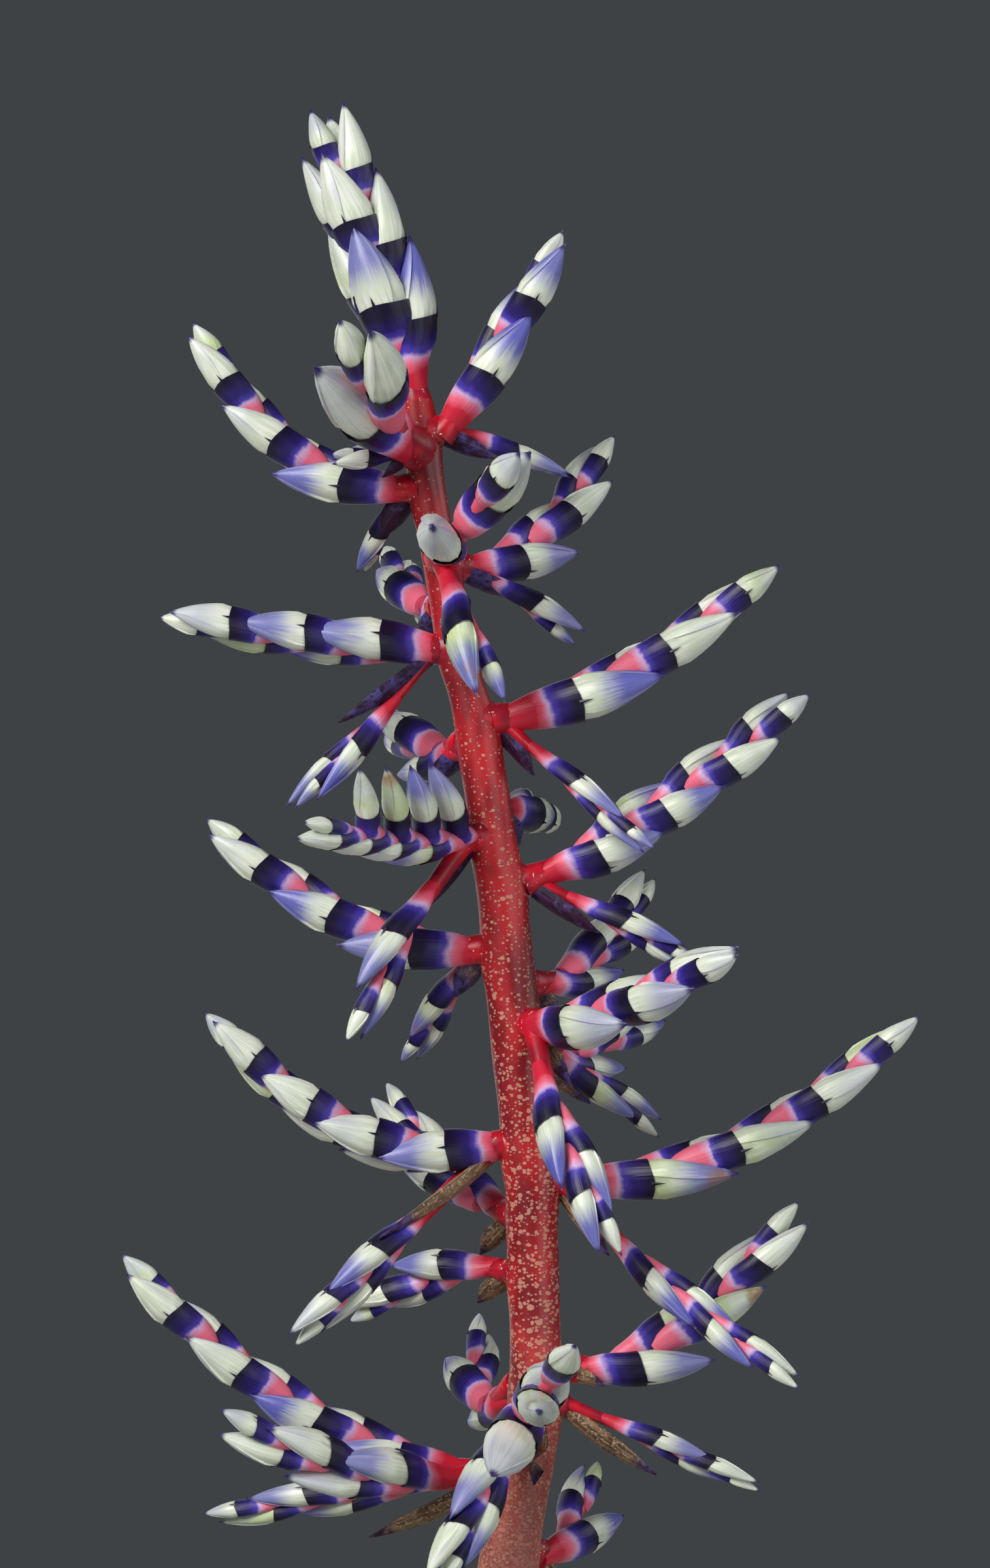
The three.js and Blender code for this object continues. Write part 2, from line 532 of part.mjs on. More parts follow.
// A branch: a short stub on the stem, its spikes, and the long bract below them.
function branch({ at, bract, spikes }) {
  const centre = stemAt(at);
  const outward = vec(spikes[0].via[0], spikes[0].via[1], 0).normalize();
  const across = vec(0, 0, 0).crossVectors(outward, UP);
  const forkReach = stemRadius(at) + FORK.reach;
  const ring = (reach, radius) => oval(centre.clone().addScaledVector(outward, reach), across, UP,
    radius, radius, FORK.sides);
  const stub = toSolid(loft([ring(0, FORK.radius), ring(forkReach, FORK.radius),
    ring(forkReach + FORK.nose, FORK.noseRadius)]));
  const foot = centre.clone().addScaledVector(outward, stemRadius(at))
    .addScaledVector(UP, -BRANCH_BRACT.drop);
  const below = lance(foot, centre.clone().add(vec(...bract)), BRANCH_BRACT.width,
    BRANCH_BRACT.thickness, BRANCH_BRACT.facing);
  const fork = centre.clone().addScaledVector(outward, forkReach);
  return fuse([stub, below, ...spikes.map((made) => spike(fork, centre, made))]);
}

const bromeliad = new THREE.Group();
addMesh(bromeliad, "pot", pot(), CLAY);
addMesh(bromeliad, "soil", soil(), EARTH);
addMesh(bromeliad, "flower_stem", stem(), STEM_RED);

let leafNumber = 0;
for (const ring of LEAF_RINGS) {
  for (let index = 0; index < ring.count; index++) {
    leafNumber += 1;
    const name = `leaf_${String(leafNumber).padStart(2, "0")}`;
    addMesh(bromeliad, name, leaf(ring, index, leafNumber), LEAF_GREEN);
  }
}

const clearance = stemTube(GAP);
BRANCHES.forEach((made, index) => {
  const name = `branch_${String(index + 1).padStart(2, "0")}`;
  addMesh(bromeliad, name, toGeometry(mainBody(branch(made).subtract(clearance))), SPIKE_WHITE);
});
const stemTop = stemCurve.getPointAt(1).addScaledVector(UP, GAP);
const topSpike = fuse(TOP_RANKS.map((ranks) => spike(stemTop, stemTop, { ...TOP_SPIKE, ...ranks })));
addMesh(bromeliad, "top_spike", toGeometry(mainBody(topSpike)), SPIKE_WHITE);

export default bromeliad;
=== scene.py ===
"""Looks of a potted bromeliad in flower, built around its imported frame.

The plant is a clay pot of bark mix, a rosette of spiny strap leaves and one red flower stem. The
stem carries branches of two-ranked spikes, and each flower stands in a violet cup of a bract.
Lengths are metres; the plant's own tables are in millimetres and are turned into metres by MM.
"""
import logging
import math
from collections.abc import Callable
from dataclasses import dataclass, field
from enum import Enum

import bpy
import numpy as np
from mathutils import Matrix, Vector


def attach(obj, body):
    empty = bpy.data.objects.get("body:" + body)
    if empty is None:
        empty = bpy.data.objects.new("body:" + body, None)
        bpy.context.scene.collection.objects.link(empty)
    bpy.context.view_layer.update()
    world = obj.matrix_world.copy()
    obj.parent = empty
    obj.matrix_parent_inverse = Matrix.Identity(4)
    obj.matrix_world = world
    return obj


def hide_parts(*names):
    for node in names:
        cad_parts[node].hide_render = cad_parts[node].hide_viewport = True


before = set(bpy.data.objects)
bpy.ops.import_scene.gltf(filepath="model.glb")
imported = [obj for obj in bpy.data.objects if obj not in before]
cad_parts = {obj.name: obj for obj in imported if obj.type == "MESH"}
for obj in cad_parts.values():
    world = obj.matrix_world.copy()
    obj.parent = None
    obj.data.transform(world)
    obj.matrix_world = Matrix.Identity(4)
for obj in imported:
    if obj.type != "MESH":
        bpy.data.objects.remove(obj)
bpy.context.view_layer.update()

LOG = logging.getLogger("bromeliad")
MM = 0.001

Array = np.ndarray
Point = tuple[float, float, float]
Colour = tuple[float, float, float]
Value = bpy.types.NodeSocket | float
Paint = bpy.types.NodeSocket | Colour
Surface = Callable[[Array, Array], Array]

UP = np.array([0.0, 0.0, 1.0])
FRONT = np.array([0.0, -1.0, 0.0])
# The share of its thickness that a bract or a sheath loses from its middle to its edges.
EDGE_THINNING = 0.7


def unit(vectors: Array) -> Array:
    """Return the vectors at length 1, along their last axis."""
    return vectors / np.linalg.norm(vectors, axis=-1, keepdims=True)


def ease(low: float, high: float, value: Array | float) -> Array | float:
    """Rise smoothly from 0 at low to 1 at high: 3t^2 - 2t^3, with t the share of the way.

    Args:
        low: The value at which the rise begins.
        high: The value at which it ends.
        value: Where to read it.

    Returns:
        The height of the rise, from 0 to 1.
    """
    share = np.clip((value - low) / (high - low), 0.0, 1.0)
    return share * share * (3.0 - 2.0 * share)


def vary(index: int, seed: int) -> float:
    """Return a fixed wave between -1 and 1, the same that sets the leaves' lengths in the frame."""
    return math.sin(index * 12.9898 + seed * 78.233)


def tint(code: str) -> Colour:
    """Turn a colour as seen on a screen, #rrggbb, into the linear light that a shader takes."""
    shares = [int(code[i:i + 2], 16) / 255 for i in (1, 3, 5)]
    return tuple(s / 12.92 if s <= 0.04045 else ((s + 0.055) / 1.055) ** 2.4 for s in shares)


def full_turn(count: int) -> Array:
    """Return angles spread evenly over a full turn, in radians."""
    return np.linspace(0.0, 2 * math.pi, count, endpoint=False)


def level_ways(turn: Array) -> Array:
    """Return the level directions at angles from +X."""
    return np.stack([np.cos(turn), np.sin(turn), 0.0 * turn], -1)


def hoops(turn: Array, first: Array, second: Array) -> Array:
    """Return a ring of directions for each row: cos(turn) * first + sin(turn) * second."""
    return (np.cos(turn)[None, :, None] * first[:, None]
            + np.sin(turn)[None, :, None] * second[:, None])


def two_skins(thickness: float, count: int) -> tuple[Array, Array]:
    """Lay the columns of a blade, over its face from edge to edge and back under it.

    Its half thickness is thickness / 2 * (1 - edge thinning * side^2).

    Args:
        thickness: Its thickness along the middle.
        count: Columns on each face.

    Returns:
        Each column's side, from -1 to 1, and its height over the blade's middle skin.
    """
    side = np.linspace(-1.0, 1.0, count)
    thick = thickness * (1.0 - EDGE_THINNING * side ** 2) / 2
    return np.concatenate([side, side[::-1]]), np.concatenate([thick, -thick[::-1]])


class Path:
    """A line through space that can be read by shares of its length."""

    def __init__(self, points: Array) -> None:
        """Keep a dense row of points, with the length run at each.

        Args:
            points: The line's points, one per row.
        """
        self.points = points
        steps = np.linalg.norm(np.diff(points, axis=0), axis=1)
        run = np.concatenate([[0.0], np.cumsum(steps)])
        self.length = float(run[-1])
        self.shares = run / self.length
        self.headings = unit(np.gradient(points, run, axis=0))

    @classmethod
    def bend(cls, start: Array, pull: Array, end: Array, count: int = 200) -> "Path":
        """Make a parabola: (1-t)^2 start + 2t(1-t) pull + t^2 end, for t from 0 to 1."""
        t = np.linspace(0.0, 1.0, count)[:, None]
        return cls((1 - t) ** 2 * start + 2 * t * (1 - t) * pull + t ** 2 * end)

    @classmethod
    def through(cls, points: Array, count: int = 40) -> "Path":
        """Make a smooth line through points.

        Each span is a cubic that leaves its first point along half the chord between the
        neighbours, and reaches its last point in the same way. Past each end stands a mirrored
        point.

        Args:
            points: The points that the line passes.
            count: Steps in each span.

        Returns:
            The line.
        """
        ends = [2 * points[0] - points[1]], [2 * points[-1] - points[-2]]
        knots = np.concatenate([ends[0], points, ends[1]])
        before, start, end, after = knots[:-3], knots[1:-2], knots[2:-1], knots[3:]
        t = np.linspace(0.0, 1.0, count, endpoint=False)[None, :, None]
        leave, reach = (end - before)[:, None] / 2, (after - start)[:, None] / 2
        start, end = start[:, None], end[:, None]
        spans = ((2 * t ** 3 - 3 * t ** 2 + 1) * start + (t ** 3 - 2 * t ** 2 + t) * leave
                 + (3 * t ** 2 - 2 * t ** 3) * end + (t ** 3 - t ** 2) * reach)
        return cls(np.concatenate([spans.reshape(-1, 3), points[-1:]]))

    def at(self, shares: Array | float) -> tuple[Array, Array]:
        """Read the line.

        Args:
            shares: Places as shares of its length.

        Returns:
            The points and the headings there. Past an end the line goes straight on.
        """
        inside = np.clip(shares, 0.0, 1.0)
        read = [np.stack([np.interp(inside, self.shares, rows[:, axis]) for axis in range(3)], -1)
                for rows in (self.points, self.headings)]
        heading = unit(read[1])
        past = np.asarray(shares - inside)[..., None] * self.length
        return read[0] + past * heading, heading


class Skin:
    """Closed patches gathered into one mesh.

    Each vertex carries marks that the finishes read: run is 0 at its organ's foot and 1 at its
    tip, back and side are the cosine and sine of its place round the organ, with back 1 on the
    outer face, tone is the organ's own shade, age its own stage and lap the place across a sepal.
    """

    MARKS = ("run", "back", "side", "tone", "age", "lap")

    def __init__(self) -> None:
        """Begin with no patch."""
        self.count = 0
        self.points: list[Array] = []
        self.faces: dict[int, list[Array]] = {4: [], 3: []}
        self.finishes: dict[int, list[Array]] = {4: [], 3: []}
        self.marks: dict[str, list[Array]] = {name: [] for name in self.MARKS}

    def patch(self, rows: Array, finish: int = 0, **marks: Array | float) -> None:
        """Add one closed patch, turned to face outwards.

        Args:
            rows: Points by row along the patch and column round it. The last column meets the
                first, and a pole in the middle of each end row closes that end.
            finish: The number of the patch's material.
            marks: The marks, each one value or a grid of the rows' size.
        """
        high, wide, _ = rows.shape
        index = np.arange(high * wide).reshape(high, wide)
        beside = np.roll(index, -1, axis=1)
        quads = np.stack([index[:-1], beside[:-1], beside[1:], index[1:]], -1).reshape(-1, 4)
        poles = np.full((2, wide), [[high * wide], [high * wide + 1]])
        ends = np.concatenate([np.stack([beside[0], index[0], poles[0]], -1),
                               np.stack([index[-1], beside[-1], poles[1]], -1)])
        points = np.concatenate([rows.reshape(-1, 3), rows[[0, -1]].mean(axis=1)])
        spread = {name: np.broadcast_to(np.asarray(marks.get(name, 0.0), float), (high, wide))
                  for name in self.MARKS}
        flat = {name: np.concatenate([grid.ravel(), grid[[0, -1]].mean(axis=1)])
                for name, grid in spread.items()}
        self.solid(points, quads, ends, finish, flat)

    def solid(self, points: Array, quads: Array, triangles: Array, finish: int,
              marks: dict[str, Array]) -> None:
        """Add closed faces as they are, turned over if their volume comes out negative.

        Args:
            points: The corners.
            quads: Faces of four corners, by number in points.
            triangles: Faces of three corners.
            finish: The number of their material.
            marks: Each mark's value at each corner.
        """
        halves = np.concatenate([quads[:, :3], quads[:, [0, 2, 3]], triangles])
        a, b, c = (points[halves[:, i]] - points[0] for i in range(3))
        if np.einsum("ij,ij->i", a, np.cross(b, c)).sum() < 0:
            quads, triangles = quads[:, ::-1], triangles[:, ::-1]
        for sides, faces in ((4, quads), (3, triangles)):
            self.faces[sides].append(faces + self.count)
            self.finishes[sides].append(np.full(len(faces), finish))
        for name in self.MARKS:
            self.marks[name].append(np.asarray(marks.get(name, np.zeros(len(points))), float))
        self.points.append(points)
        self.count += len(points)

    def thorns(self, feet: Array, aims: Array, lengthwise: Array, breadth: Array,
               finish: int = 0, **marks: float) -> None:
        """Add a row of four-sided thorns.

        Args:
            feet: The middle of each thorn's foot.
            aims: From each foot to its tip.
            lengthwise: From each foot's middle to its end, along the edge that it stands on.
            breadth: The same across that edge.
            finish: The number of their material.
            marks: The marks, one value each.
        """
        corners = np.stack([feet + lengthwise, feet + breadth, feet - lengthwise, feet - breadth,
                            feet + aims], axis=1)
        first = 5 * np.arange(len(feet))[:, None, None]
        quads = (first + np.array([[3, 2, 1, 0]])).reshape(-1, 4)
        sides = np.array([[0, 1, 4], [1, 2, 4], [2, 3, 4], [3, 0, 4]])
        triangles = (first + sides).reshape(-1, 3)
        flat = {name: np.full(5 * len(feet), marks.get(name, 0.0)) for name in self.MARKS}
        self.solid(corners.reshape(-1, 3), quads, triangles, finish, flat)

    def make(self, name: str, materials: list[bpy.types.Material],
             crease: float = 50.0) -> bpy.types.Object:
        """Turn the patches into one object in the scene.

        Args:
            name: The piece's name.
            materials: Its materials, in the order of the patches' finish numbers.
            crease: Edges bent by more than this, in degrees, stay sharp.

        Returns:
            The new object.
        """
        quads, triangles = (np.concatenate(self.faces[sides]) for sides in (4, 3))
        corners = np.concatenate([quads.ravel(), triangles.ravel()])
        starts = np.concatenate([4 * np.arange(len(quads)),
                                 4 * len(quads) + 3 * np.arange(len(triangles))])
        points = np.concatenate(self.points)
        mesh = bpy.data.meshes.new(name)
        mesh.vertices.add(len(points))
        mesh.vertices.foreach_set("co", points.ravel())
        mesh.loops.add(len(corners))
        mesh.loops.foreach_set("vertex_index", corners.astype(np.int32))
        mesh.polygons.add(len(starts))
        mesh.polygons.foreach_set("loop_start", starts.astype(np.int32))
        finishes = np.concatenate(self.finishes[4] + self.finishes[3])
        mesh.polygons.foreach_set("material_index", finishes.astype(np.int32))
        mesh.update(calc_edges=True)
        mesh.validate()
        mesh.shade_smooth()
        mesh.set_sharp_from_angle(angle=math.radians(crease))
        for mark, parts in self.marks.items():
            layer = mesh.attributes.new(mark, "FLOAT", "POINT")
            layer.data.foreach_set("value", np.concatenate(parts).astype(np.float32))
        for material in materials:
            mesh.materials.append(material)
        piece = bpy.data.objects.new(name, mesh)
        bpy.context.scene.collection.objects.link(piece)
        LOG.info("%s: %d faces", name, len(starts))
        return piece


class Recipe:
    """A material put together node by node."""

    def __init__(self, name: str, roughness: float, coat: float = 0.0, under: float = 0.0,
                 gloss: float = 0.5) -> None:
        """Begin with a plain surface.

        Args:
            name: The material's name.
            roughness: 0 is a mirror and 1 is chalk.
            coat: The weight of a thin clear wax.
            under: The share of light that travels under the skin.
            gloss: The strength of the surface's own reflection, 0.5 on most things.
        """
        self.material = bpy.data.materials.new(name)
        self.material.use_nodes = True
        self.tree = self.material.node_tree
        self.shader = self.tree.nodes["Principled BSDF"]
        self.shader.inputs["Roughness"].default_value = roughness
        self.shader.inputs["Specular IOR Level"].default_value = gloss
        self.shader.inputs["Coat Weight"].default_value = coat
        self.shader.inputs["Coat Roughness"].default_value = 0.3
        self.shader.inputs["Subsurface Weight"].default_value = under
        self.shader.inputs["Subsurface Radius"].default_value = (1.0, 0.6, 0.4)
        self.shader.inputs["Subsurface Scale"].default_value = 1.5 * MM

    def node(self, kind: str, inputs: dict[int | str, Value], output: int | str = 0,
             **settings: object) -> bpy.types.NodeSocket:
        """Add a node.

        Args:
            kind: The node's type, without the words ShaderNode.
            inputs: Its inputs by number or name, each a value or another node's output.
            output: The output to return.
            settings: The node's own settings.

        Returns:
            The chosen output.
        """
        made = self.tree.nodes.new("ShaderNode" + kind)
        for name, setting in settings.items():
            setattr(made, name, setting)
        for key, value in inputs.items():
            if isinstance(value, bpy.types.NodeSocket):
                self.tree.links.new(value, made.inputs[key])
            else:
                made.inputs[key].default_value = value
        return made.outputs[output]

    def mark(self, name: str) -> bpy.types.NodeSocket:
        """Read one of a skin's marks."""
        return self.node("Attribute", {}, "Fac", attribute_name=name)

    def place(self, x: float = 1.0, y: float = 1.0, z: float = 1.0) -> bpy.types.NodeSocket:
        """Read the place on the piece in metres, stretched by x, y and z."""
        here = self.node("TexCoord", {}, "Object")
        return self.node("Mapping", {"Vector": here, "Scale": (x, y, z)})

    def height(self) -> bpy.types.NodeSocket:
        """Read the height above the pot's underside, in metres."""
        return self.node("SeparateXYZ", {0: self.node("TexCoord", {}, "Object")}, "Z")

    def vector(self, x: Value, y: Value, z: Value) -> bpy.types.NodeSocket:
        """Put three values together."""
        return self.node("CombineXYZ", {0: x, 1: y, 2: z})

    def noise(self, where: bpy.types.NodeSocket, scale: float,
              detail: float = 3.0) -> bpy.types.NodeSocket:
        """Read soft noise, about 0.2 to 0.8, with blotches of about 1 / scale."""
        return self.node("TexNoise", {"Vector": where, "Scale": scale, "Detail": detail})

    def dots(self, where: bpy.types.NodeSocket, scale: float,
             amount: Value) -> bpy.types.NodeSocket:
        """Scatter round dots of all sizes, one in each cell of about 1 / scale.

        Args:
            where: The place.
            scale: Cells in a metre.
            amount: The radius of the largest dot, as a share of its cell.

        Returns:
            1 in the dots and 0 between them.
        """
        centre = self.node("TexVoronoi", {"Vector": where, "Scale": scale})
        chance = self.node("SeparateColor", {0: centre.node.outputs["Color"]}, "Red")
        gap = self.sum(self.times(chance, amount), centre, -1.0)
        return self.rise(gap, -0.02, 0.1)

    def sum(self, first: Value, second: Value, share: float = 1.0) -> bpy.types.NodeSocket:
        """Return first + second * share."""
        return self.node("Math", {0: second, 1: share, 2: first}, operation="MULTIPLY_ADD")

    def times(self, first: Value, second: Value) -> bpy.types.NodeSocket:
        """Return first * second."""
        return self.node("Math", {0: first, 1: second}, operation="MULTIPLY")

    def rise(self, value: Value, low: Value, high: Value) -> bpy.types.NodeSocket:
        """Rise smoothly from 0 at low to 1 at high, or fall where low is the larger."""
        return self.node("MapRange", {"Value": value, "From Min": low, "From Max": high},
                         interpolation_type="SMOOTHSTEP")

    def mix(self, share: Value, first: Paint, second: Paint) -> bpy.types.NodeSocket:
        """Blend two colours."""
        paints = [p if isinstance(p, bpy.types.NodeSocket) else (*p, 1.0) for p in (first, second)]
        return self.node("Mix", {0: share, 6: paints[0], 7: paints[1]}, 2, data_type="RGBA")

    def ramp(self, value: Value, stops: list[tuple[float, Colour]]) -> bpy.types.NodeSocket:
        """Read a colour from a scale.

        Args:
            value: Where to read it, from 0 to 1.
            stops: The scale's places from 0 to 1, in rising order, and their colours.

        Returns:
            The colour.
        """
        made = self.node("ValToRGB", {0: value})
        elements = made.node.color_ramp.elements
        for place, colour in stops[2:]:
            elements.new(place)
        for element, (place, colour) in zip(elements, stops):
            element.position = place
            element.color = (*colour, 1.0)
        return made

    def finish(self, colour: bpy.types.NodeSocket, roughness: bpy.types.NodeSocket | None = None,
               relief: bpy.types.NodeSocket | None = None,
               depth: float = 0.0) -> bpy.types.Material:
        """Lead the colour, the roughness and the relief to the surface.

        Args:
            colour: The colour.
            roughness: The roughness, if it isn't even.
            relief: Heights from 0 to 1, if the surface isn't smooth.
            depth: How high 1 stands, in metres.

        Returns:
            The material.
        """
        self.tree.links.new(colour, self.shader.inputs["Base Color"])
        if roughness:
            self.tree.links.new(roughness, self.shader.inputs["Roughness"])
        if relief:
            bump = self.node("Bump", {"Height": relief, "Distance": depth, "Strength": 1.0})
            self.tree.links.new(bump, self.shader.inputs["Normal"])
        return self.material


@dataclass(frozen=True)
class StalkFinish:
    """The stalks: smooth crimson, turning pink among the flowers, with a few cream specks."""

    crimson: Colour = tint("#c90f29")
    dark: Colour = tint("#8c1024")
    pink: Colour = tint("#e2576f")
    speck: Colour = tint("#e9c4ab")

    def material(self) -> bpy.types.Material:
        """Make the material: age turns crimson to pink.

        Returns:
            The material.
        """
        recipe = Recipe("crimson_stalk", roughness=0.36, coat=0.1, under=0.1, gloss=0.35)
        blotch = recipe.noise(recipe.place(), 170.0)
        red = recipe.mix(recipe.rise(blotch, 0.35, 0.7), self.dark, self.crimson)
        flesh = recipe.mix(recipe.mark("age"), red, self.pink)
        specks = recipe.rise(recipe.noise(recipe.place(), 1300.0, 1.0), 0.7, 0.74)
        near = recipe.rise(recipe.mark("run"), 0.12, 0.0)
        colour = recipe.mix(recipe.times(specks, near), flesh, self.speck)
        return recipe.finish(colour, relief=blotch, depth=0.2 * MM)


@dataclass(frozen=True)
class CupFinish:
    """The bract that holds a flower: red or pink foot, a pale lilac belt with a painted highlight in
    it, then violet to a black rim.
    """

    crimson: Colour = tint("#c9203a")
    pink: Colour = tint("#e66c86")
    # pale is the bract's own lilac belt, lightened into a painted highlight that every cup shows alike.
    pale: Colour = tint("#cdaad4")
    violet: Colour = tint("#4a3cae")
    deep: Colour = tint("#281a6c")
    black: Colour = tint("#100929")

    def material(self) -> bpy.types.Material:
        """Make the material: run climbs through the belts, and age tells a red foot from a pink.

        Returns:
            The material.
        """
        recipe = Recipe("violet_cup", roughness=0.38, coat=0.08, under=0.05, gloss=0.3)
        run, back, side, tone = (recipe.mark(name) for name in ("run", "back", "side", "tone"))
        blotch = recipe.noise(recipe.place(), 240.0)
        grain = recipe.noise(recipe.vector(recipe.times(side, 11.0), recipe.times(back, 11.0),
                                           recipe.sum(recipe.times(run, 1.6), tone, 30.0)), 1.0)
        stage = recipe.sum(recipe.sum(recipe.sum(recipe.sum(run, back, 0.07), tone, 0.22),
                                      blotch, 0.24), grain, 0.05)
        stage = recipe.sum(stage, -0.33)
        belts = [(0.41, self.violet), (0.55, self.deep), (0.84, self.black)]
        # The pale stop paints a highlight band round every cup, on top of the bract's own lilac.
        first = recipe.ramp(stage, [(0.02, self.crimson), (0.2, self.pink), (0.31, self.pale), *belts])
        later = recipe.ramp(stage, [(0.06, self.pink), (0.2, self.pink), (0.34, self.pale), *belts])
        colour = recipe.mix(recipe.mark("age"), first, later)
        return recipe.finish(colour, relief=grain, depth=0.12 * MM)


@dataclass(frozen=True)
class PetalFinish:
    """The closed flower: waxy cream with a green cast, some with a lavender upper half."""

    cream: Colour = tint("#e4e9dc")
    shade: Colour = tint("#c5ceb8")
    green: Colour = tint("#b3c685")
    lavender: Colour = tint("#5456ad")
    tip: Colour = tint("#2c1f66")
    edge: Colour = tint("#a9a5c9")
    withered: Colour = tint("#86583a")

    def material(self) -> bpy.types.Material:
        """Make the material: age is the share of lavender, and lap runs across each sepal.

        The flowers with the highest tones have brown, withered spots in their upper half.

        Returns:
            The material.
        """
        recipe = Recipe("waxy_flower", roughness=0.4, coat=0.15, under=0.08)
        run, back, side, tone = (recipe.mark(name) for name in ("run", "back", "side", "tone"))
        age, lap = recipe.mark("age"), recipe.mark("lap")
        blotch = recipe.noise(recipe.place(), 150.0)
        veins = recipe.noise(recipe.vector(recipe.times(side, 9.0), recipe.times(back, 9.0),
                                           recipe.sum(recipe.times(run, 1.1), tone, 40.0)), 1.0)
        body = recipe.mix(recipe.rise(recipe.sum(veins, blotch, 0.6), 0.6, 1.0),
                          self.shade, self.cream)
        cast = recipe.rise(recipe.sum(tone, blotch, 0.8), 1.22, 1.45)
        body = recipe.mix(recipe.times(cast, 0.8), body, self.green)
        reach = recipe.sum(recipe.sum(run, veins, 0.5), blotch, 0.3)
        wash = recipe.times(recipe.rise(reach, 0.52, 0.98), age)
        body = recipe.mix(wash, body, self.lavender)
        margin = recipe.times(recipe.rise(lap, 0.8, 0.97), recipe.rise(run, 0.1, 0.6))
        body = recipe.mix(recipe.times(margin, 0.55), body, self.edge)
        dry = recipe.times(recipe.rise(recipe.sum(tone, blotch, 0.7), 1.3, 1.4),
                           recipe.rise(run, 0.45, 0.8))
        body = recipe.mix(recipe.times(dry, 0.8), body, self.withered)
        colour = recipe.mix(recipe.rise(recipe.sum(run, veins, 0.12), 0.91, 1.0), body, self.tip)
        return recipe.finish(colour, relief=veins, depth=0.03 * MM)


@dataclass(frozen=True)
class ScaleFinish:
    """The long bract under a branch: violet-black when young, dry tan with a dark tip when old."""

    black: Colour = tint("#140a1e")
    maroon: Colour = tint("#471640")
    violet: Colour = tint("#51468a")
    brown: Colour = tint("#4f3b2c")
    tan: Colour = tint("#96795c")
    speck: Colour = tint("#c9b298")

    def material(self) -> bpy.types.Material:
        """Make the material: age dries it, from the foot on.

        Returns:
            The material.
        """
        recipe = Recipe("long_bract", roughness=0.45, gloss=0.3)
        run, side, tone, age = (recipe.mark(name) for name in ("run", "side", "tone", "age"))
        fibres = recipe.noise(recipe.vector(recipe.times(side, 9.0), recipe.times(run, 2.0),
                                            recipe.times(tone, 20.0)), 1.0)
        blotch = recipe.noise(recipe.place(), 330.0)
        young = recipe.mix(recipe.rise(fibres, 0.35, 0.7), self.black, self.maroon)
        bloom = recipe.rise(recipe.sum(blotch, tone, 0.3), 0.55, 0.85)
        young = recipe.mix(recipe.times(bloom, 0.8), young, self.violet)
        spots = recipe.rise(recipe.noise(recipe.place(), 1000.0, 1.0), 0.55, 0.63)
        young = recipe.mix(recipe.times(spots, 0.8), young, self.black)
        old = recipe.mix(recipe.rise(recipe.sum(fibres, blotch, 0.5), 0.6, 0.95), self.brown, self.tan)
        dust = recipe.rise(recipe.noise(recipe.place(), 1500.0, 2.0), 0.54, 0.66)
        old = recipe.mix(recipe.times(dust, 0.6), old, self.speck)
        dry = recipe.sum(recipe.sum(age, blotch, 0.8), recipe.rise(run, 0.5, 0.95), -0.8)
        colour = recipe.mix(recipe.rise(dry, 0.6, 1.0), young, old)
        return recipe.finish(colour, relief=fibres, depth=0.25 * MM)


@dataclass(frozen=True)
class SheathFinish:
    """The dry sheaths on the bare stem: papery tan with fine ribs, red at the foot."""

    foot: Colour = tint("#93392f")
    brown: Colour = tint("#6e4a34")
    tan: Colour = tint("#ad8b68")
    scurf: Colour = tint("#d2bfa6")

    def material(self) -> bpy.types.Material:
        """Make the material: run climbs from the foot and side crosses the ribs.

        Returns:
            The material.
        """
        recipe = Recipe("dry_sheath", roughness=0.65)
        run, side, tone = (recipe.mark(name) for name in ("run", "side", "tone"))
        ribs = recipe.noise(recipe.vector(recipe.times(side, 12.0), recipe.times(run, 1.5),
                                          recipe.times(tone, 9.0)), 1.0)
        blotch = recipe.noise(recipe.place(1.0, 1.0, 0.4), 150.0)
        body = recipe.mix(recipe.rise(recipe.sum(ribs, blotch, 0.7), 0.65, 1.05),
                          self.brown, self.tan)
        body = recipe.mix(recipe.rise(recipe.sum(run, blotch, -0.5), 0.1, -0.16), body, self.foot)
        dust = recipe.dots(recipe.place(), 900.0, recipe.sum(0.16, blotch, 0.5))
        colour = recipe.mix(recipe.times(dust, 0.5), body, self.scurf)
        return recipe.finish(colour, relief=ribs, depth=0.4 * MM)


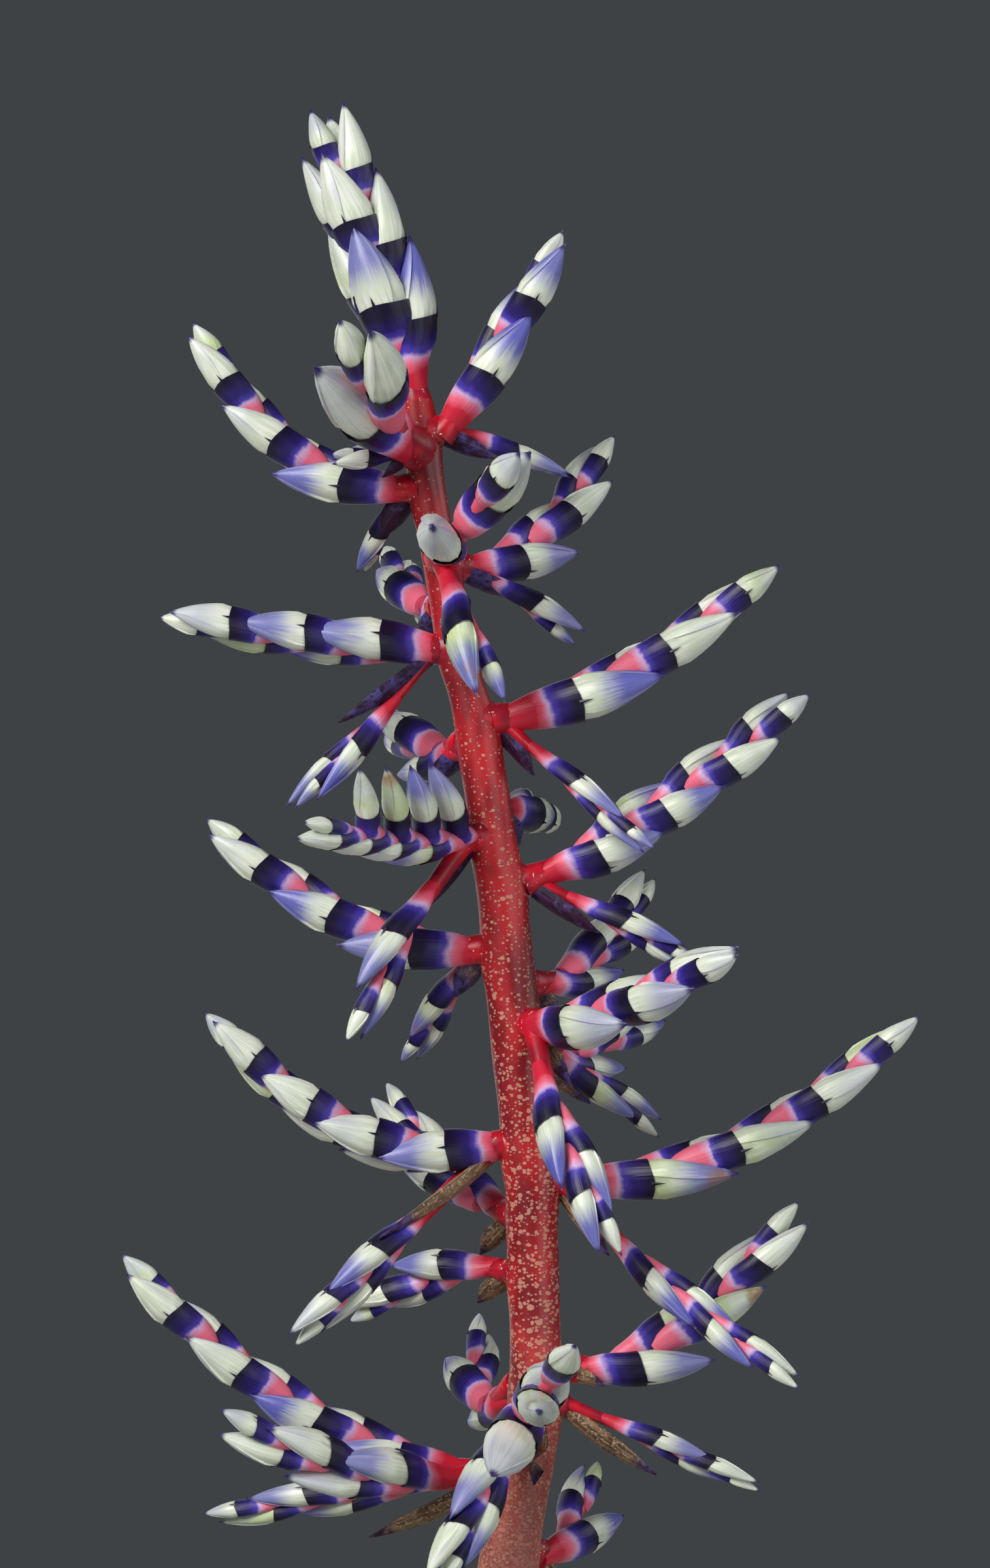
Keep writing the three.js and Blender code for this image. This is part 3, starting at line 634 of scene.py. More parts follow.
@dataclass(frozen=True)
class StemFinish:
    """The flower stem: red with cream scurf, sparse at the top and a brown felt far down."""

    red: Colour = tint("#b41f26")
    dark: Colour = tint("#76121c")
    scurf: Colour = tint("#d09a84")
    felt: Colour = tint("#99564b")
    felt_top: float = 560 * MM
    felt_end: float = 470 * MM
    sparse: float = 760 * MM
    dense: float = 570 * MM

    def material(self) -> bpy.types.Material:
        """Make the material: the height sets how much scurf there is.

        Returns:
            The material.
        """
        recipe = Recipe("scurfy_stem", roughness=0.5, under=0.05)
        height = recipe.height()
        blotch = recipe.noise(recipe.place(1.0, 1.0, 0.4), 130.0)
        red = recipe.mix(recipe.rise(blotch, 0.35, 0.65), self.dark, self.red)
        amount = recipe.sum(recipe.rise(height, self.sparse, self.dense), blotch, 0.5)
        here = recipe.place(1.0, 1.0, 1.25)
        felt = recipe.rise(recipe.sum(height, blotch, -60 * MM), self.felt_top, self.felt_end)
        fine = recipe.dots(here, 1050.0, recipe.sum(0.26, amount, 0.36))
        most = recipe.sum(amount, felt, -0.5)
        broad = recipe.dots(here, 470.0, recipe.sum(0.16, most, 0.26))
        crust = recipe.node("Math", {0: fine, 1: broad}, operation="MAXIMUM")
        nap = recipe.rise(recipe.noise(here, 1600.0, 2.0), 0.42, 0.66)
        felted = recipe.mix(recipe.times(nap, 0.5), self.felt, self.scurf)
        ground = recipe.mix(recipe.times(felt, 0.85), red, felted)
        share = recipe.times(crust, recipe.sum(0.62, felt, -0.3))
        colour = recipe.mix(share, ground, self.scurf)
        rough = recipe.sum(0.36, recipe.sum(crust, felt, 0.6), 0.3)
        return recipe.finish(colour, roughness=rough, relief=crust, depth=0.12 * MM)


@dataclass(frozen=True)
class LeafFinish:
    """The strap leaves: satin green, cross bands of grey scurf, a dry tip and a brown edge."""

    green: Colour = tint("#4a7434")
    dark: Colour = tint("#2f5527")
    lime: Colour = tint("#7f9b4d")
    scurf: Colour = tint("#aab79a")
    sheath: Colour = tint("#8f8a63")
    dry: Colour = tint("#8b6a3e")
    bands: float = 26.0

    def material(self) -> bpy.types.Material:
        """Make the material: run and side lie along and across the leaf, and back is its face.

        Returns:
            The material.
        """
        recipe = Recipe("satin_leaf", roughness=0.4, coat=0.15, under=0.04)
        run, side, back, tone = (recipe.mark(name) for name in ("run", "side", "back", "tone"))
        where = recipe.vector(recipe.times(side, 26.0), recipe.times(run, 5.0), recipe.times(tone, 9.0))
        veins = recipe.noise(where, 1.0, 2.0)
        blotch = recipe.noise(recipe.place(), 22.0)
        body = recipe.ramp(recipe.sum(recipe.times(blotch, 0.8), veins, 0.3),
                           [(0.35, self.dark), (0.58, self.green), (0.85, self.lime)])
        warp = recipe.sum(recipe.times(run, self.bands), recipe.noise(recipe.place(), 60.0), 1.6)
        lines = recipe.noise(recipe.vector(recipe.times(side, 0.7), warp, tone), 1.0, 2.0)
        under = recipe.rise(back, 0.5, -0.5)
        amount = recipe.sum(0.25, under, 0.45)
        body = recipe.mix(recipe.times(recipe.rise(lines, 0.5, 0.62), amount), body, self.scurf)
        body = recipe.mix(recipe.rise(recipe.sum(run, blotch, 0.06), 0.2, 0.03), body, self.sheath)
        rim = recipe.rise(recipe.times(side, side), 0.9, 0.97)
        edge = recipe.rise(recipe.sum(run, veins, 0.03), 0.965, 1.0)
        colour = recipe.mix(recipe.sum(recipe.times(rim, 0.6), edge, 0.9), body, self.dry)
        rough = recipe.sum(0.36, lines, 0.2)
        return recipe.finish(colour, roughness=rough, relief=veins, depth=0.5 * MM)


@dataclass(frozen=True)
class ThornFinish:
    """The thorns on the leaves' edges: dark horn."""

    horn: Colour = tint("#5a3a1e")
    dark: Colour = tint("#22140c")

    def material(self) -> bpy.types.Material:
        """Make the material.

        Returns:
            The material.
        """
        recipe = Recipe("horn_thorn", roughness=0.4)
        blotch = recipe.noise(recipe.place(), 500.0)
        return recipe.finish(recipe.mix(recipe.rise(blotch, 0.35, 0.65), self.dark, self.horn))


@dataclass(frozen=True)
class ClayFinish:
    """The pot: unglazed fired clay with a lime bloom and a fine grain."""

    clay: Colour = tint("#b9653f")
    burnt: Colour = tint("#9c4f30")
    bloom: Colour = tint("#d8b49b")

    def material(self) -> bpy.types.Material:
        """Make the material: streaks of lime run down the wall.

        Returns:
            The material.
        """
        recipe = Recipe("fired_clay", roughness=0.85)
        cloud = recipe.noise(recipe.place(), 14.0, 5.0)
        streak = recipe.noise(recipe.place(1.0, 1.0, 0.25), 30.0, 4.0)
        grain = recipe.noise(recipe.place(), 900.0, 4.0)
        body = recipe.mix(recipe.rise(cloud, 0.35, 0.65), self.burnt, self.clay)
        lime = recipe.times(recipe.rise(streak, 0.52, 0.72), 0.55)
        body = recipe.mix(lime, body, self.bloom)
        colour = recipe.mix(recipe.times(recipe.rise(grain, 0.6, 0.75), 0.3), body, self.bloom)
        rough = recipe.sum(0.7, cloud, 0.3)
        return recipe.finish(colour, roughness=rough, relief=grain, depth=0.3 * MM)


@dataclass(frozen=True)
class MixFinish:
    """The potting mix: dark damp peat with paler crumbs."""

    peat: Colour = tint("#2a1d14")
    brown: Colour = tint("#4c3625")
    crumb: Colour = tint("#8d7357")

    def material(self) -> bpy.types.Material:
        """Make the material.

        Returns:
            The material.
        """
        recipe = Recipe("potting_mix", roughness=0.95)
        clods = recipe.noise(recipe.place(), 320.0, 6.0)
        crumbs = recipe.noise(recipe.place(), 700.0, 2.0)
        body = recipe.mix(recipe.rise(clods, 0.35, 0.65), self.peat, self.brown)
        colour = recipe.mix(recipe.rise(crumbs, 0.68, 0.74), body, self.crumb)
        return recipe.finish(colour, relief=clods, depth=3.0 * MM)


@dataclass(frozen=True)
class BarkFinish:
    """The bark chips: each its own brown, with fibres and a weathered face."""

    dark: Colour = tint("#3a2416")
    warm: Colour = tint("#7a4d2e")
    pale: Colour = tint("#a98a68")

    def material(self) -> bpy.types.Material:
        """Make the material: tone sets each chip's brown.

        Returns:
            The material.
        """
        recipe = Recipe("bark_chip", roughness=0.9)
        fibres = recipe.noise(recipe.place(1.0, 0.35, 1.0), 600.0, 4.0)
        shade = recipe.sum(recipe.times(recipe.mark("tone"), 0.6), fibres, 0.5)
        colour = recipe.ramp(shade, [(0.2, self.dark), (0.55, self.warm), (0.9, self.pale)])
        return recipe.finish(colour, relief=fibres, depth=1.0 * MM)


class Organ(Enum):
    """What a patch of a flower branch is, and the number of its material."""

    STALK = 0
    CUP = 1
    PETAL = 2
    BRACT = 3


@dataclass(frozen=True)
class Spike:
    """One spike of a branch, in millimetres from the stem's centre where the branch leaves it.

    via pulls the spike's curve and tip ends it. size scales its flowers, and slim their breadth
    alone. bare is the share of its length that has no flower, and roll turns its two ranks from
    flat to the viewer (0) to edge on, with the first flower in front (-90) or behind (90). spread
    is the angle in degrees between the spike and its first rank's flowers, where they open wide,
    crowd how many times closer than usual its flowers stand, and wash how much of the usual
    lavender they have.
    """

    via: Point
    tip: Point
    size: float
    bare: float
    roll: float
    slim: float = 1.0
    spread: float | None = None
    crowd: float = 1.0
    wash: float = 1.0


@dataclass(frozen=True)
class Branch:
    """One branch: its height on the stem, the tip of the long bract under it, and its spikes."""

    at: float
    bract: Point
    spikes: tuple[Spike, ...]

    def outward(self) -> Array:
        """Return the level direction in which the branch leaves the stem."""
        across, away, _ = self.spikes[0].via
        return unit(np.array([across, away, 0.0]))


BRANCHES = (
    Branch(781, (17, 2, -6), (
        Spike((16, 0, 14), (32, -3, 44), 1, 0.16, -70),
        Spike((16, 5, 0), (33, 9, -10), 0.8, 0.36, -60, 0.62),
    )),
    Branch(777, (-9, -9, -7), (
        Spike((-9, -24, 5), (-16, -50, 24), 1.32, 0.2, 0, 1.12, 12, wash=0.3),
        Spike((-12, -9, -3), (-19, -16, -2), 0.6, 0.2, 60, 0.9),
    )),
    Branch(768, (-11, 6, -11), (
        Spike((-33, 4, 0), (-53, 4, 37), 0.95, 0.1, -105),
        Spike((-8, 8, -5), (-15, 14, -18), 0.7, 0.34, -60, 0.75),
    )),
    Branch(752, (7, -12, -12), (
        Spike((3, -24, 3), (18, -54, 20), 1.2, 0.24, 30, spread=26, wash=0.35),
        Spike((4, -19, -11), (14, -25, -32), 1, 0.4, -30, 0.95),
    )),
    Branch(750, (18, 5, -7), (
        Spike((23, 15, 1), (39, 31, 31), 0.95, 0.12, -45),
        Spike((15, 4, -4), (30, 6, -17), 0.75, 0.42, -140, 0.8),
    )),
    Branch(741, (-6, 14, -8), (
        Spike((-8, 22, -1), (-15, 50, 15), 0.95, 0.14, 20),
    )),
    Branch(731, (-27, -10, -17), (
        Spike((-33, -3, 2), (-66, -8, 7), 1, 0.07, -70),
        Spike((-16, -4, -15), (-36, -11, -35), 0.9, 0.46, -130, 0.65),
    )),
    Branch(715, (14, -3, -13), (
        Spike((34, -2, 5), (68, -5, 34), 1.18, 0.13, -80, 0.9),
        Spike((22, -6, -15), (40, -15, -29), 0.85, 0.36, -130, 0.6),
    )),
    Branch(709, (-11, 10, -9), (
        Spike((-13, 16, -4), (-22, 42, 8), 1, 0.14, 65),
    )),
    Branch(694, (7, 14, -8), (
        Spike((8, 22, 1), (13, 54, -2), 0.9, 0.2, 30),
    )),
    Branch(688, (-15, -9, -16), (
        Spike((-16, -15, -2), (-41, -44, 3), 0.82, 0.08, -15, spread=56, crowd=1.6),
        Spike((-16, -14, -12), (-32, -20, -45), 0.9, 0.42, -40, 0.85),
    )),
    Branch(678, (23, -3, -12), (
        Spike((35, 3, 12), (70, 5, 42), 0.9, 0.13, -40, 1.15),
        Spike((27, -2, -9), (45, -4, -19), 0.85, 0.4, -130, 0.65),
    )),
    Branch(662, (-12, 6, -11), (
        Spike((-35, 4, -1), (-68, 7, 29), 1, 0.09, -105),
        Spike((-11, 10, -8), (-24, 22, -26), 0.8, 0.3, -40, 0.8),
    )),
    Branch(654, (11, 12, -9), (
        Spike((18, 18, 0), (33, 42, 23), 0.95, 0.16, 20),
    )),
    Branch(645, (13, -8, -14), (
        Spike((17, -21, 0), (48, -44, 17), 1.1, 0.12, -70, wash=0.6),
        Spike((7, -24, -19), (23, -30, -49), 0.95, 0.34, -30, 0.9),
    )),
    Branch(638, (17, 11, -12), (
        Spike((16, 14, -4), (34, 37, 11), 0.9, 0.16, 20),
        Spike((15, 9, -3), (32, 15, -19), 0.8, 0.24, -40, 0.8),
    )),
    Branch(617, (-34, -14, -20), (
        Spike((-40, -4, -7), (-72, -9, 30), 0.92, 0.06, -75, 1.08),
        Spike((-25, -8, -16), (-52, -15, -43), 0.9, 0.46, -40, 0.8),
    )),
    Branch(609, (18, -3, -17), (
        Spike((46, 0, -2), (87, -4, 37), 1.15, 0.12, -78, 0.84),
        Spike((27, -14, -22), (59, -30, -43), 0.95, 0.33, -45, 0.68),
    )),
    Branch(601, (-12, 12, -10), (
        Spike((-19, 20, 2), (-34, 42, 27), 0.95, 0.14, 30),
    )),
    Branch(588, (-13, 10, -8), (
        Spike((-20, 11, 2), (-42, 21, -13), 0.8, 0.2, -40),
    )),
    Branch(566, (16, 0, -4), (
        Spike((30, 6, -3), (60, 8, 36), 1, 0.13, -40),
    )),
    Branch(561, (-4, 14, -9), (
        Spike((-17, 22, -13), (-12, 46, 12), 0.95, 0.2, 30),
    )),
    Branch(558, (28, -4, -16), (
        Spike((30, -5, -9), (50, -11, -18), 0.8, 0.34, -130, 0.6),
    )),
    Branch(557, (0, -14, -16), (
        Spike((-4, -28, -2), (8, -64, 20), 1.2, 0.12, 60, spread=26, wash=0.35),
        Spike((-10, -21, -13), (-21, -30, -36), 0.95, 0.24, -30, 0.95),
    )),
    Branch(542, (-36, 8, -16), (
        Spike((-47, 0, 1), (-91, -4, 49), 1, 0.14, -105),
        Spike((-35, -19, -4), (-67, -28, 17), 1, 0.26, -30),
        Spike((-36, 12, -6), (-73, 17, -12), 0.95, 0.26, -40, 0.75),
    )),
    Branch(523, (11, 12, -9), (
        Spike((15, 14, -2), (20, 38, 16), 0.95, 0.2, 20),
    )),
)

# The spike that ends the stem has flowers on all four sides: two pairs of ranks on one axis.
CROWN = (
    Spike((-5, 0, 24), (-23, 0, 65), 1.06, 0.13, -5),
    Spike((-5, 0, 24), (-23, 0, 65), 1.06, 0.2, -112),
)


@dataclass(frozen=True)
class FlowerForm:
    """The sizes of a flower in its cup, in millimetres at full size.

    spread is the angle between the flower's line and the spike's, in degrees; on a slim spike it
    is smaller. rim, foot and tip are measured along the flower's line from the axis: the cup's rim,
    and the two ends of the closed flower. spine is the length of the cup's spine, slope how much
    lower the rim lies on the inner side, cup and girth are half widths at the rim and just above
    it, and lift and droop are the shift of the flower's line outwards at the rim and back by its
    tip.
    """

    spread: float
    rim: float
    spine: float
    slope: float
    cup: float
    foot: float
    tip: float
    girth: float
    lift: float
    droop: float


SIDE_FLOWER = FlowerForm(9.0, 8.8, 2.3, 1.5, 5.1, 1.0, 26.0, 5.15, 1.2, 0.8)
END_FLOWER = FlowerForm(0.0, 6.0, 1.9, 0.3, 4.1, 0.5, 17.5, 4.15, 0.0, 0.0)
CROWN_FLOWER = FlowerForm(14.0, 9.5, 2.3, 1.5, 6.2, 1.0, 27.5, 6.2, 1.4, 0.8)
CROWN_END_FLOWER = FlowerForm(0.0, 6.5, 1.9, 0.3, 5.2, 0.5, 17.5, 5.2, 0.0, 0.0)


class SpikeAxis:
    """The axis of one spike: its curve, its nodes and its thickness.

    At full size the flowers stand PITCH millimetres apart, and END_ROOM is kept for the last one,
    which is smaller than the first by the share SHRINK. RADII are the stalk's radii at its five
    stations, and its root is wider by the share FLARE over FLARE_REACH millimetres. A spike that
    heads towards the viewer or away by more than END_ON counts as seen from its end. ZIGZAG is how
    far it swings to each flower, in millimetres.
    """

    PITCH = 10.0
    SHRINK = 0.24
    END_ON = 0.8
    END_ROOM = 15.0
    RADII = (3.2, 2.7, 2.4, 2.0, 1.2)
    FLARE = 0.12
    FLARE_REACH = 3.0
    ZIGZAG = 0.55

    def __init__(self, start: Array, centre: Array, made: Spike) -> None:
        """Lay the curve and space the nodes.

        Args:
            start: Where the spike leaves its branch, in metres.
            centre: The stem's centre there, from which the spike is measured.
            made: The spike's sizes.
        """
        end = centre + MM * np.array(made.tip)
        self.made = made
        self.path = Path.bend(start, centre + MM * np.array(made.via), end)
        chord = unit(end - start)
        self.reference = UP if abs(chord[1]) > self.END_ON else FRONT
        length = self.path.length / MM
        last = 1.0 - self.END_ROOM * made.size * (1.0 - self.SHRINK) / length
        pitch = self.PITCH * made.size / made.crowd
        self.count = max(1, int((last - made.bare) * length / pitch + 0.5))
        self.nodes = made.bare + (last - made.bare) * np.arange(self.count + 1) / self.count

    def frame(self, shares: Array) -> tuple[Array, Array, Array]:
        """Read the axis.

        Flank starts square to the direction towards the viewer, or to straight up on a spike seen
        from its end, and is turned by the spike's roll. The axis swings to the side of each flower
        in turn: flank * cos(pi * the number of nodes passed), fading out below the first.

        Args:
            shares: Places as shares of its length.

        Returns:
            The centres, the headings and the flanks.
        """
        points, along = self.path.at(shares)
        face = unit(self.reference - (along @ self.reference)[..., None] * along)
        roll = math.radians(self.made.roll)
        flank = np.cross(along, face) * math.cos(roll) - face * math.sin(roll)
        pitch = self.nodes[1] - self.nodes[0]
        passed = (shares - self.nodes[0]) / pitch
        swing = np.cos(math.pi * passed) * ease(-0.8, 0.0, passed) * self.ZIGZAG * self.made.size * MM
        return points + swing[..., None] * flank, along, flank

    def radius(self, shares: Array) -> Array:
        """Read the axis's radius: straight lines between the stations, with a flared root.

        The flare is 1 + FLARE * exp(-(distance from the root / FLARE_REACH)^2).

        Args:
            shares: Places as shares of its length.

        Returns:
            The radii, in metres.
        """
        bare, last = self.nodes[0], self.nodes[-1]
        stations = [0.0, bare / 2, bare, bare + (last - bare) / (self.count + 1), last]
        run = shares * self.path.length / (self.FLARE_REACH * MM)
        flare = 1.0 + self.FLARE * np.exp(-run ** 2)
        size = self.made.size * self.made.slim * MM
        return np.interp(shares, stations, self.RADII) * flare * size


class Flower:
    """One closed flower in its cup, on its seat on a spike.

    Lengths are millimetres at full size, and angles are radians. TURNS and CLIMBS are the cup's
    columns and rows. BELT is the height of its coloured belts, and its rim rises by PEAK within
    about PEAK_WIDTH of its spine. LIPS are the rows of the rim that is turned in: how far down it
    they lie, and their share of its width. The spine starts SPINE_ROOT below the rim, and
    SPINE_HALF are its half width and half depth there. DEPTH is the share of the width that the
    cup's and the flower's depth has, and what the back has more than the sides.

    LAPS are the columns of each of the SEPALS, and STEPS are the flower's rows. The flower is full
    up to FULL_TO of the rim's distance, and ROUND and SHARP are the powers of its outline. LAP is
    how far a sepal's one edge stands out over its other one and KEEL how high its keel is, both as
    shares of the radius. TWIST is how far the flower is turned from foot to tip. ROOM is the share
    of the cup's width that it fills and what it gains above the rim. A sepal's point has the
    length TIP and the half width TIP_HALF, and closes in by the share CLOSING.
    """

    TURNS = full_turn(18)
    CLIMBS = np.array([0.0, 0.14, 0.28, 0.42, 0.56, 0.7, 0.84, 1.0])
    BELT = 13.0
    PEAK = 0.8
    PEAK_WIDTH = 0.7
    LIPS = ((0.1, 0.97), (1.6, 0.9))
    SPINE_ROOT = 0.7
    SPINE_HALF = (0.42, 0.22)
    DEPTH = (0.74, 0.06)
    LAPS = np.array([0.0, 0.16, 0.38, 0.62, 0.84, 0.98])
    STEPS = np.array([0.0, 0.15, 0.3, 0.4, 0.47, 0.55, 0.64, 0.73, 0.81, 0.88, 0.94, 0.975, 0.998])
    SEPALS = 3
    FULL_TO = 0.78
    ROUND = 2.2
    SHARP = 1.05
    LAP = 0.13
    KEEL = 0.05
    TWIST = 0.9
    ROOM = (0.93, 0.11)
    TIP = 0.8
    TIP_HALF = 0.16
    CLOSING = 0.8

    def __init__(self, root: Array, along: Array, outward: Array, size: float, slim: float,
                 spread: float, form: FlowerForm, sleeve: tuple[float, float, float]) -> None:
        """Take a seat.

        Args:
            root: The seat's place on the axis, in metres.
            along: The axis's heading.
            outward: The side of the axis on which the flower stands.
            size: The flower's scale.
            slim: The scale of its breadth alone.
            spread: The angle between its line and the axis, in degrees.
            form: Its sizes.
            sleeve: How far below the seat its cup begins and the cup's half width there, both in
                millimetres, and how slowly the cup widens.
        """
        self.root = root
        self.along = along
        self.outward = outward
        self.across = np.cross(along, outward)
        self.size = size
        self.slim = slim
        self.spread = math.radians(spread)
        self.form = form
        self.sleeve = sleeve

    def place(self, reach: Array, out: Array, across: Array) -> Array:
        """Turn places in the flower's own millimetres into points.

        The flower's line leaves the axis's heading by spread * ease(-2, 5, reach).

        Args:
            reach: Distance along the flower's line.
            out: Distance outwards from it.
            across: Distance to its side.

        Returns:
            The points, in metres.
        """
        lean = self.spread * ease(-2.0, 5.0, reach)
        cos, sin = np.cos(lean)[..., None], np.sin(lean)[..., None]
        facing = cos * self.along + sin * self.outward
        away = cos * self.outward - sin * self.along
        breadth = self.slim * (out[..., None] * away + across[..., None] * self.across)
        return self.root + self.size * MM * (reach[..., None] * facing + breadth)

    def rim(self, turn: Array) -> Array:
        """Read how far out the cup's rim stands.

        It is rim - slope * (1 - cos(turn)) / 2, with a low peak under the spine:
        PEAK * exp(-(turn / PEAK_WIDTH)^2).

        Args:
            turn: Angles from the middle of its back.

        Returns:
            The distances along the flower's line.
        """
        off = np.mod(turn + math.pi, 2 * math.pi) - math.pi
        peak = self.PEAK * np.exp(-(off / self.PEAK_WIDTH) ** 2)
        return self.form.rim - self.form.slope * (1.0 - np.cos(turn)) / 2.0 + peak

    def bow(self, reach: Array) -> Array:
        """Read the shift of the flower's line: it is lifted up to the rim, then droops back.

        The lift is lift * ease(-4, 0.6 * rim, reach), and the droop is droop * t^2, with t the
        share of the way from the rim to the tip.

        Args:
            reach: Distances along the line.

        Returns:
            The shifts outwards.
        """
        form = self.form
        past = np.clip((reach - form.rim) / (form.tip - form.rim), 0.0, 1.0)
        return form.lift * ease(-4.0, 0.6 * form.rim, reach) - form.droop * past ** 2

    def cup(self, skin: Skin, tone: float, age: float) -> None:
        """Add the cup: a bract rolled round the flower's foot.

        It widens from the sleeve's foot to the rim, the rim is turned in, and a spine stands on
        its back.

        Args:
            skin: Where the patch goes.
            tone: Its own shade, about 0 to 1.
            age: 0 for a red foot and 1 for a pink one.
        """
        form, turn = self.form, self.TURNS[None, :]
        rim = self.rim(turn)
        climb = self.CLIMBS[:, None]
        skirt = self.sleeve[0]
        reach = -skirt + (rim + skirt) * climb
        half = self.cup_half(reach)
        reach = np.concatenate([reach, *(rim - fall for fall, _ in self.LIPS)])
        half = np.concatenate([half, *(half[-1:] * share for _, share in self.LIPS)])
        rows = self.place(reach, self.bow(reach) + half * self.flat(turn) * np.cos(turn),
                          half * np.sin(turn))
        skin.patch(rows, Organ.CUP.value, run=1.0 + (reach - rim) * self.size / self.BELT,
                   back=np.cos(turn), side=np.sin(turn), tone=tone, age=age)
        crest = rows[len(self.CLIMBS) - 1, :1]
        heading = unit(crest - rows[len(self.CLIMBS) - 2, :1])
        length = self.size * MM
        wide, deep = self.SPINE_HALF
        skin.thorns(crest - self.SPINE_ROOT * length * heading,
                    (form.spine + self.SPINE_ROOT) * length * heading,
                    wide * length * self.across[None], deep * length * self.outward[None],
                    Organ.CUP.value, run=1.15, back=1.0, tone=tone)

    def cup_half(self, reach: Array) -> Array:
        """Read the cup's half width: waist + (cup - waist) * sin(quarter turn * t^slow).

        Args:
            reach: Distances along the flower's line, of which t is the share from the skirt to
                the rim.

        Returns:
            The half widths.
        """
        skirt, waist, slow = self.sleeve
        climb = np.clip((reach + skirt) / (self.form.rim + skirt), 0.0, 1.0)
        return waist + (self.form.cup - waist) * np.sin(math.pi / 2 * climb ** slow)

    def flat(self, turn: Array) -> Array:
        """Return the share of the width that the depth has: more on the back than inside."""
        share, more = self.DEPTH
        return share + more * np.cos(turn)

    def petals(self, skin: Skin, tone: float, lavender: float, turned: float) -> None:
        """Add the closed flower: three sepals rolled one over the next.

        From FULL_TO of the rim's distance to the tip its half width is
        girth * (1 - t^ROUND)^SHARP, with t the share of that way, and in the cup it stays inside
        the cup. Across each sepal the radius grows steadily, so that its far edge laps over the
        next one, and each has a keel.

        Args:
            skin: Where the patch goes.
            tone: Its own shade, 0 to 1.
            lavender: The share of lavender in its upper half.
            turned: Where the first sepal begins, in turns.
        """
        form, x = self.form, self.STEPS[:, None]
        lap = np.tile(self.LAPS, self.SEPALS)[None, :]
        first = np.repeat(np.arange(self.SEPALS), len(self.LAPS))[None, :]
        turn = 2 * math.pi * ((first + lap) / self.SEPALS + turned) + self.TWIST * x
        reach = form.foot + (form.tip - form.foot) * x + 0.0 * lap
        full_to = self.FULL_TO * form.rim
        past = np.clip((reach - full_to) / (form.tip - full_to), 0.0, 1.0)
        shape = (1.0 - past ** self.ROUND) ** self.SHARP
        over = 1.0 + self.LAP * (lap - 0.6) + self.KEEL * x * np.cos(2 * math.pi * (lap - 0.5))
        filled, gained = self.ROOM
        room = self.cup_half(reach) * (filled + gained * ease(0.0, 3.0, reach - self.rim(turn)))
        half = np.minimum(form.girth * shape * over, room * (1.0 + 0.4 * self.LAP * (lap - 1.0)))
        out = self.bow(reach) + self.flat(turn) * half * np.cos(turn)
        rows = self.place(reach, out, half * np.sin(turn))
        above = (reach - form.rim) / (form.tip - form.rim)
        skin.patch(rows, Organ.PETAL.value, run=above, back=np.cos(turn), side=np.sin(turn),
                   tone=tone, age=lavender, lap=lap)
        keels = rows[-2, len(self.LAPS) // 2::len(self.LAPS)]
        heading = unit(rows[-1].mean(axis=0) - rows[-3].mean(axis=0))
        middle = rows[-2].mean(axis=0)
        aims = self.TIP * self.size * MM * heading + self.CLOSING * (middle - keels)
        thin = self.TIP_HALF * self.size * MM
        skin.thorns(keels, aims, np.tile(thin * self.across, (self.SEPALS, 1)),
                    np.tile(thin * self.outward, (self.SEPALS, 1)), Organ.PETAL.value,
                    run=1.2, tone=tone)


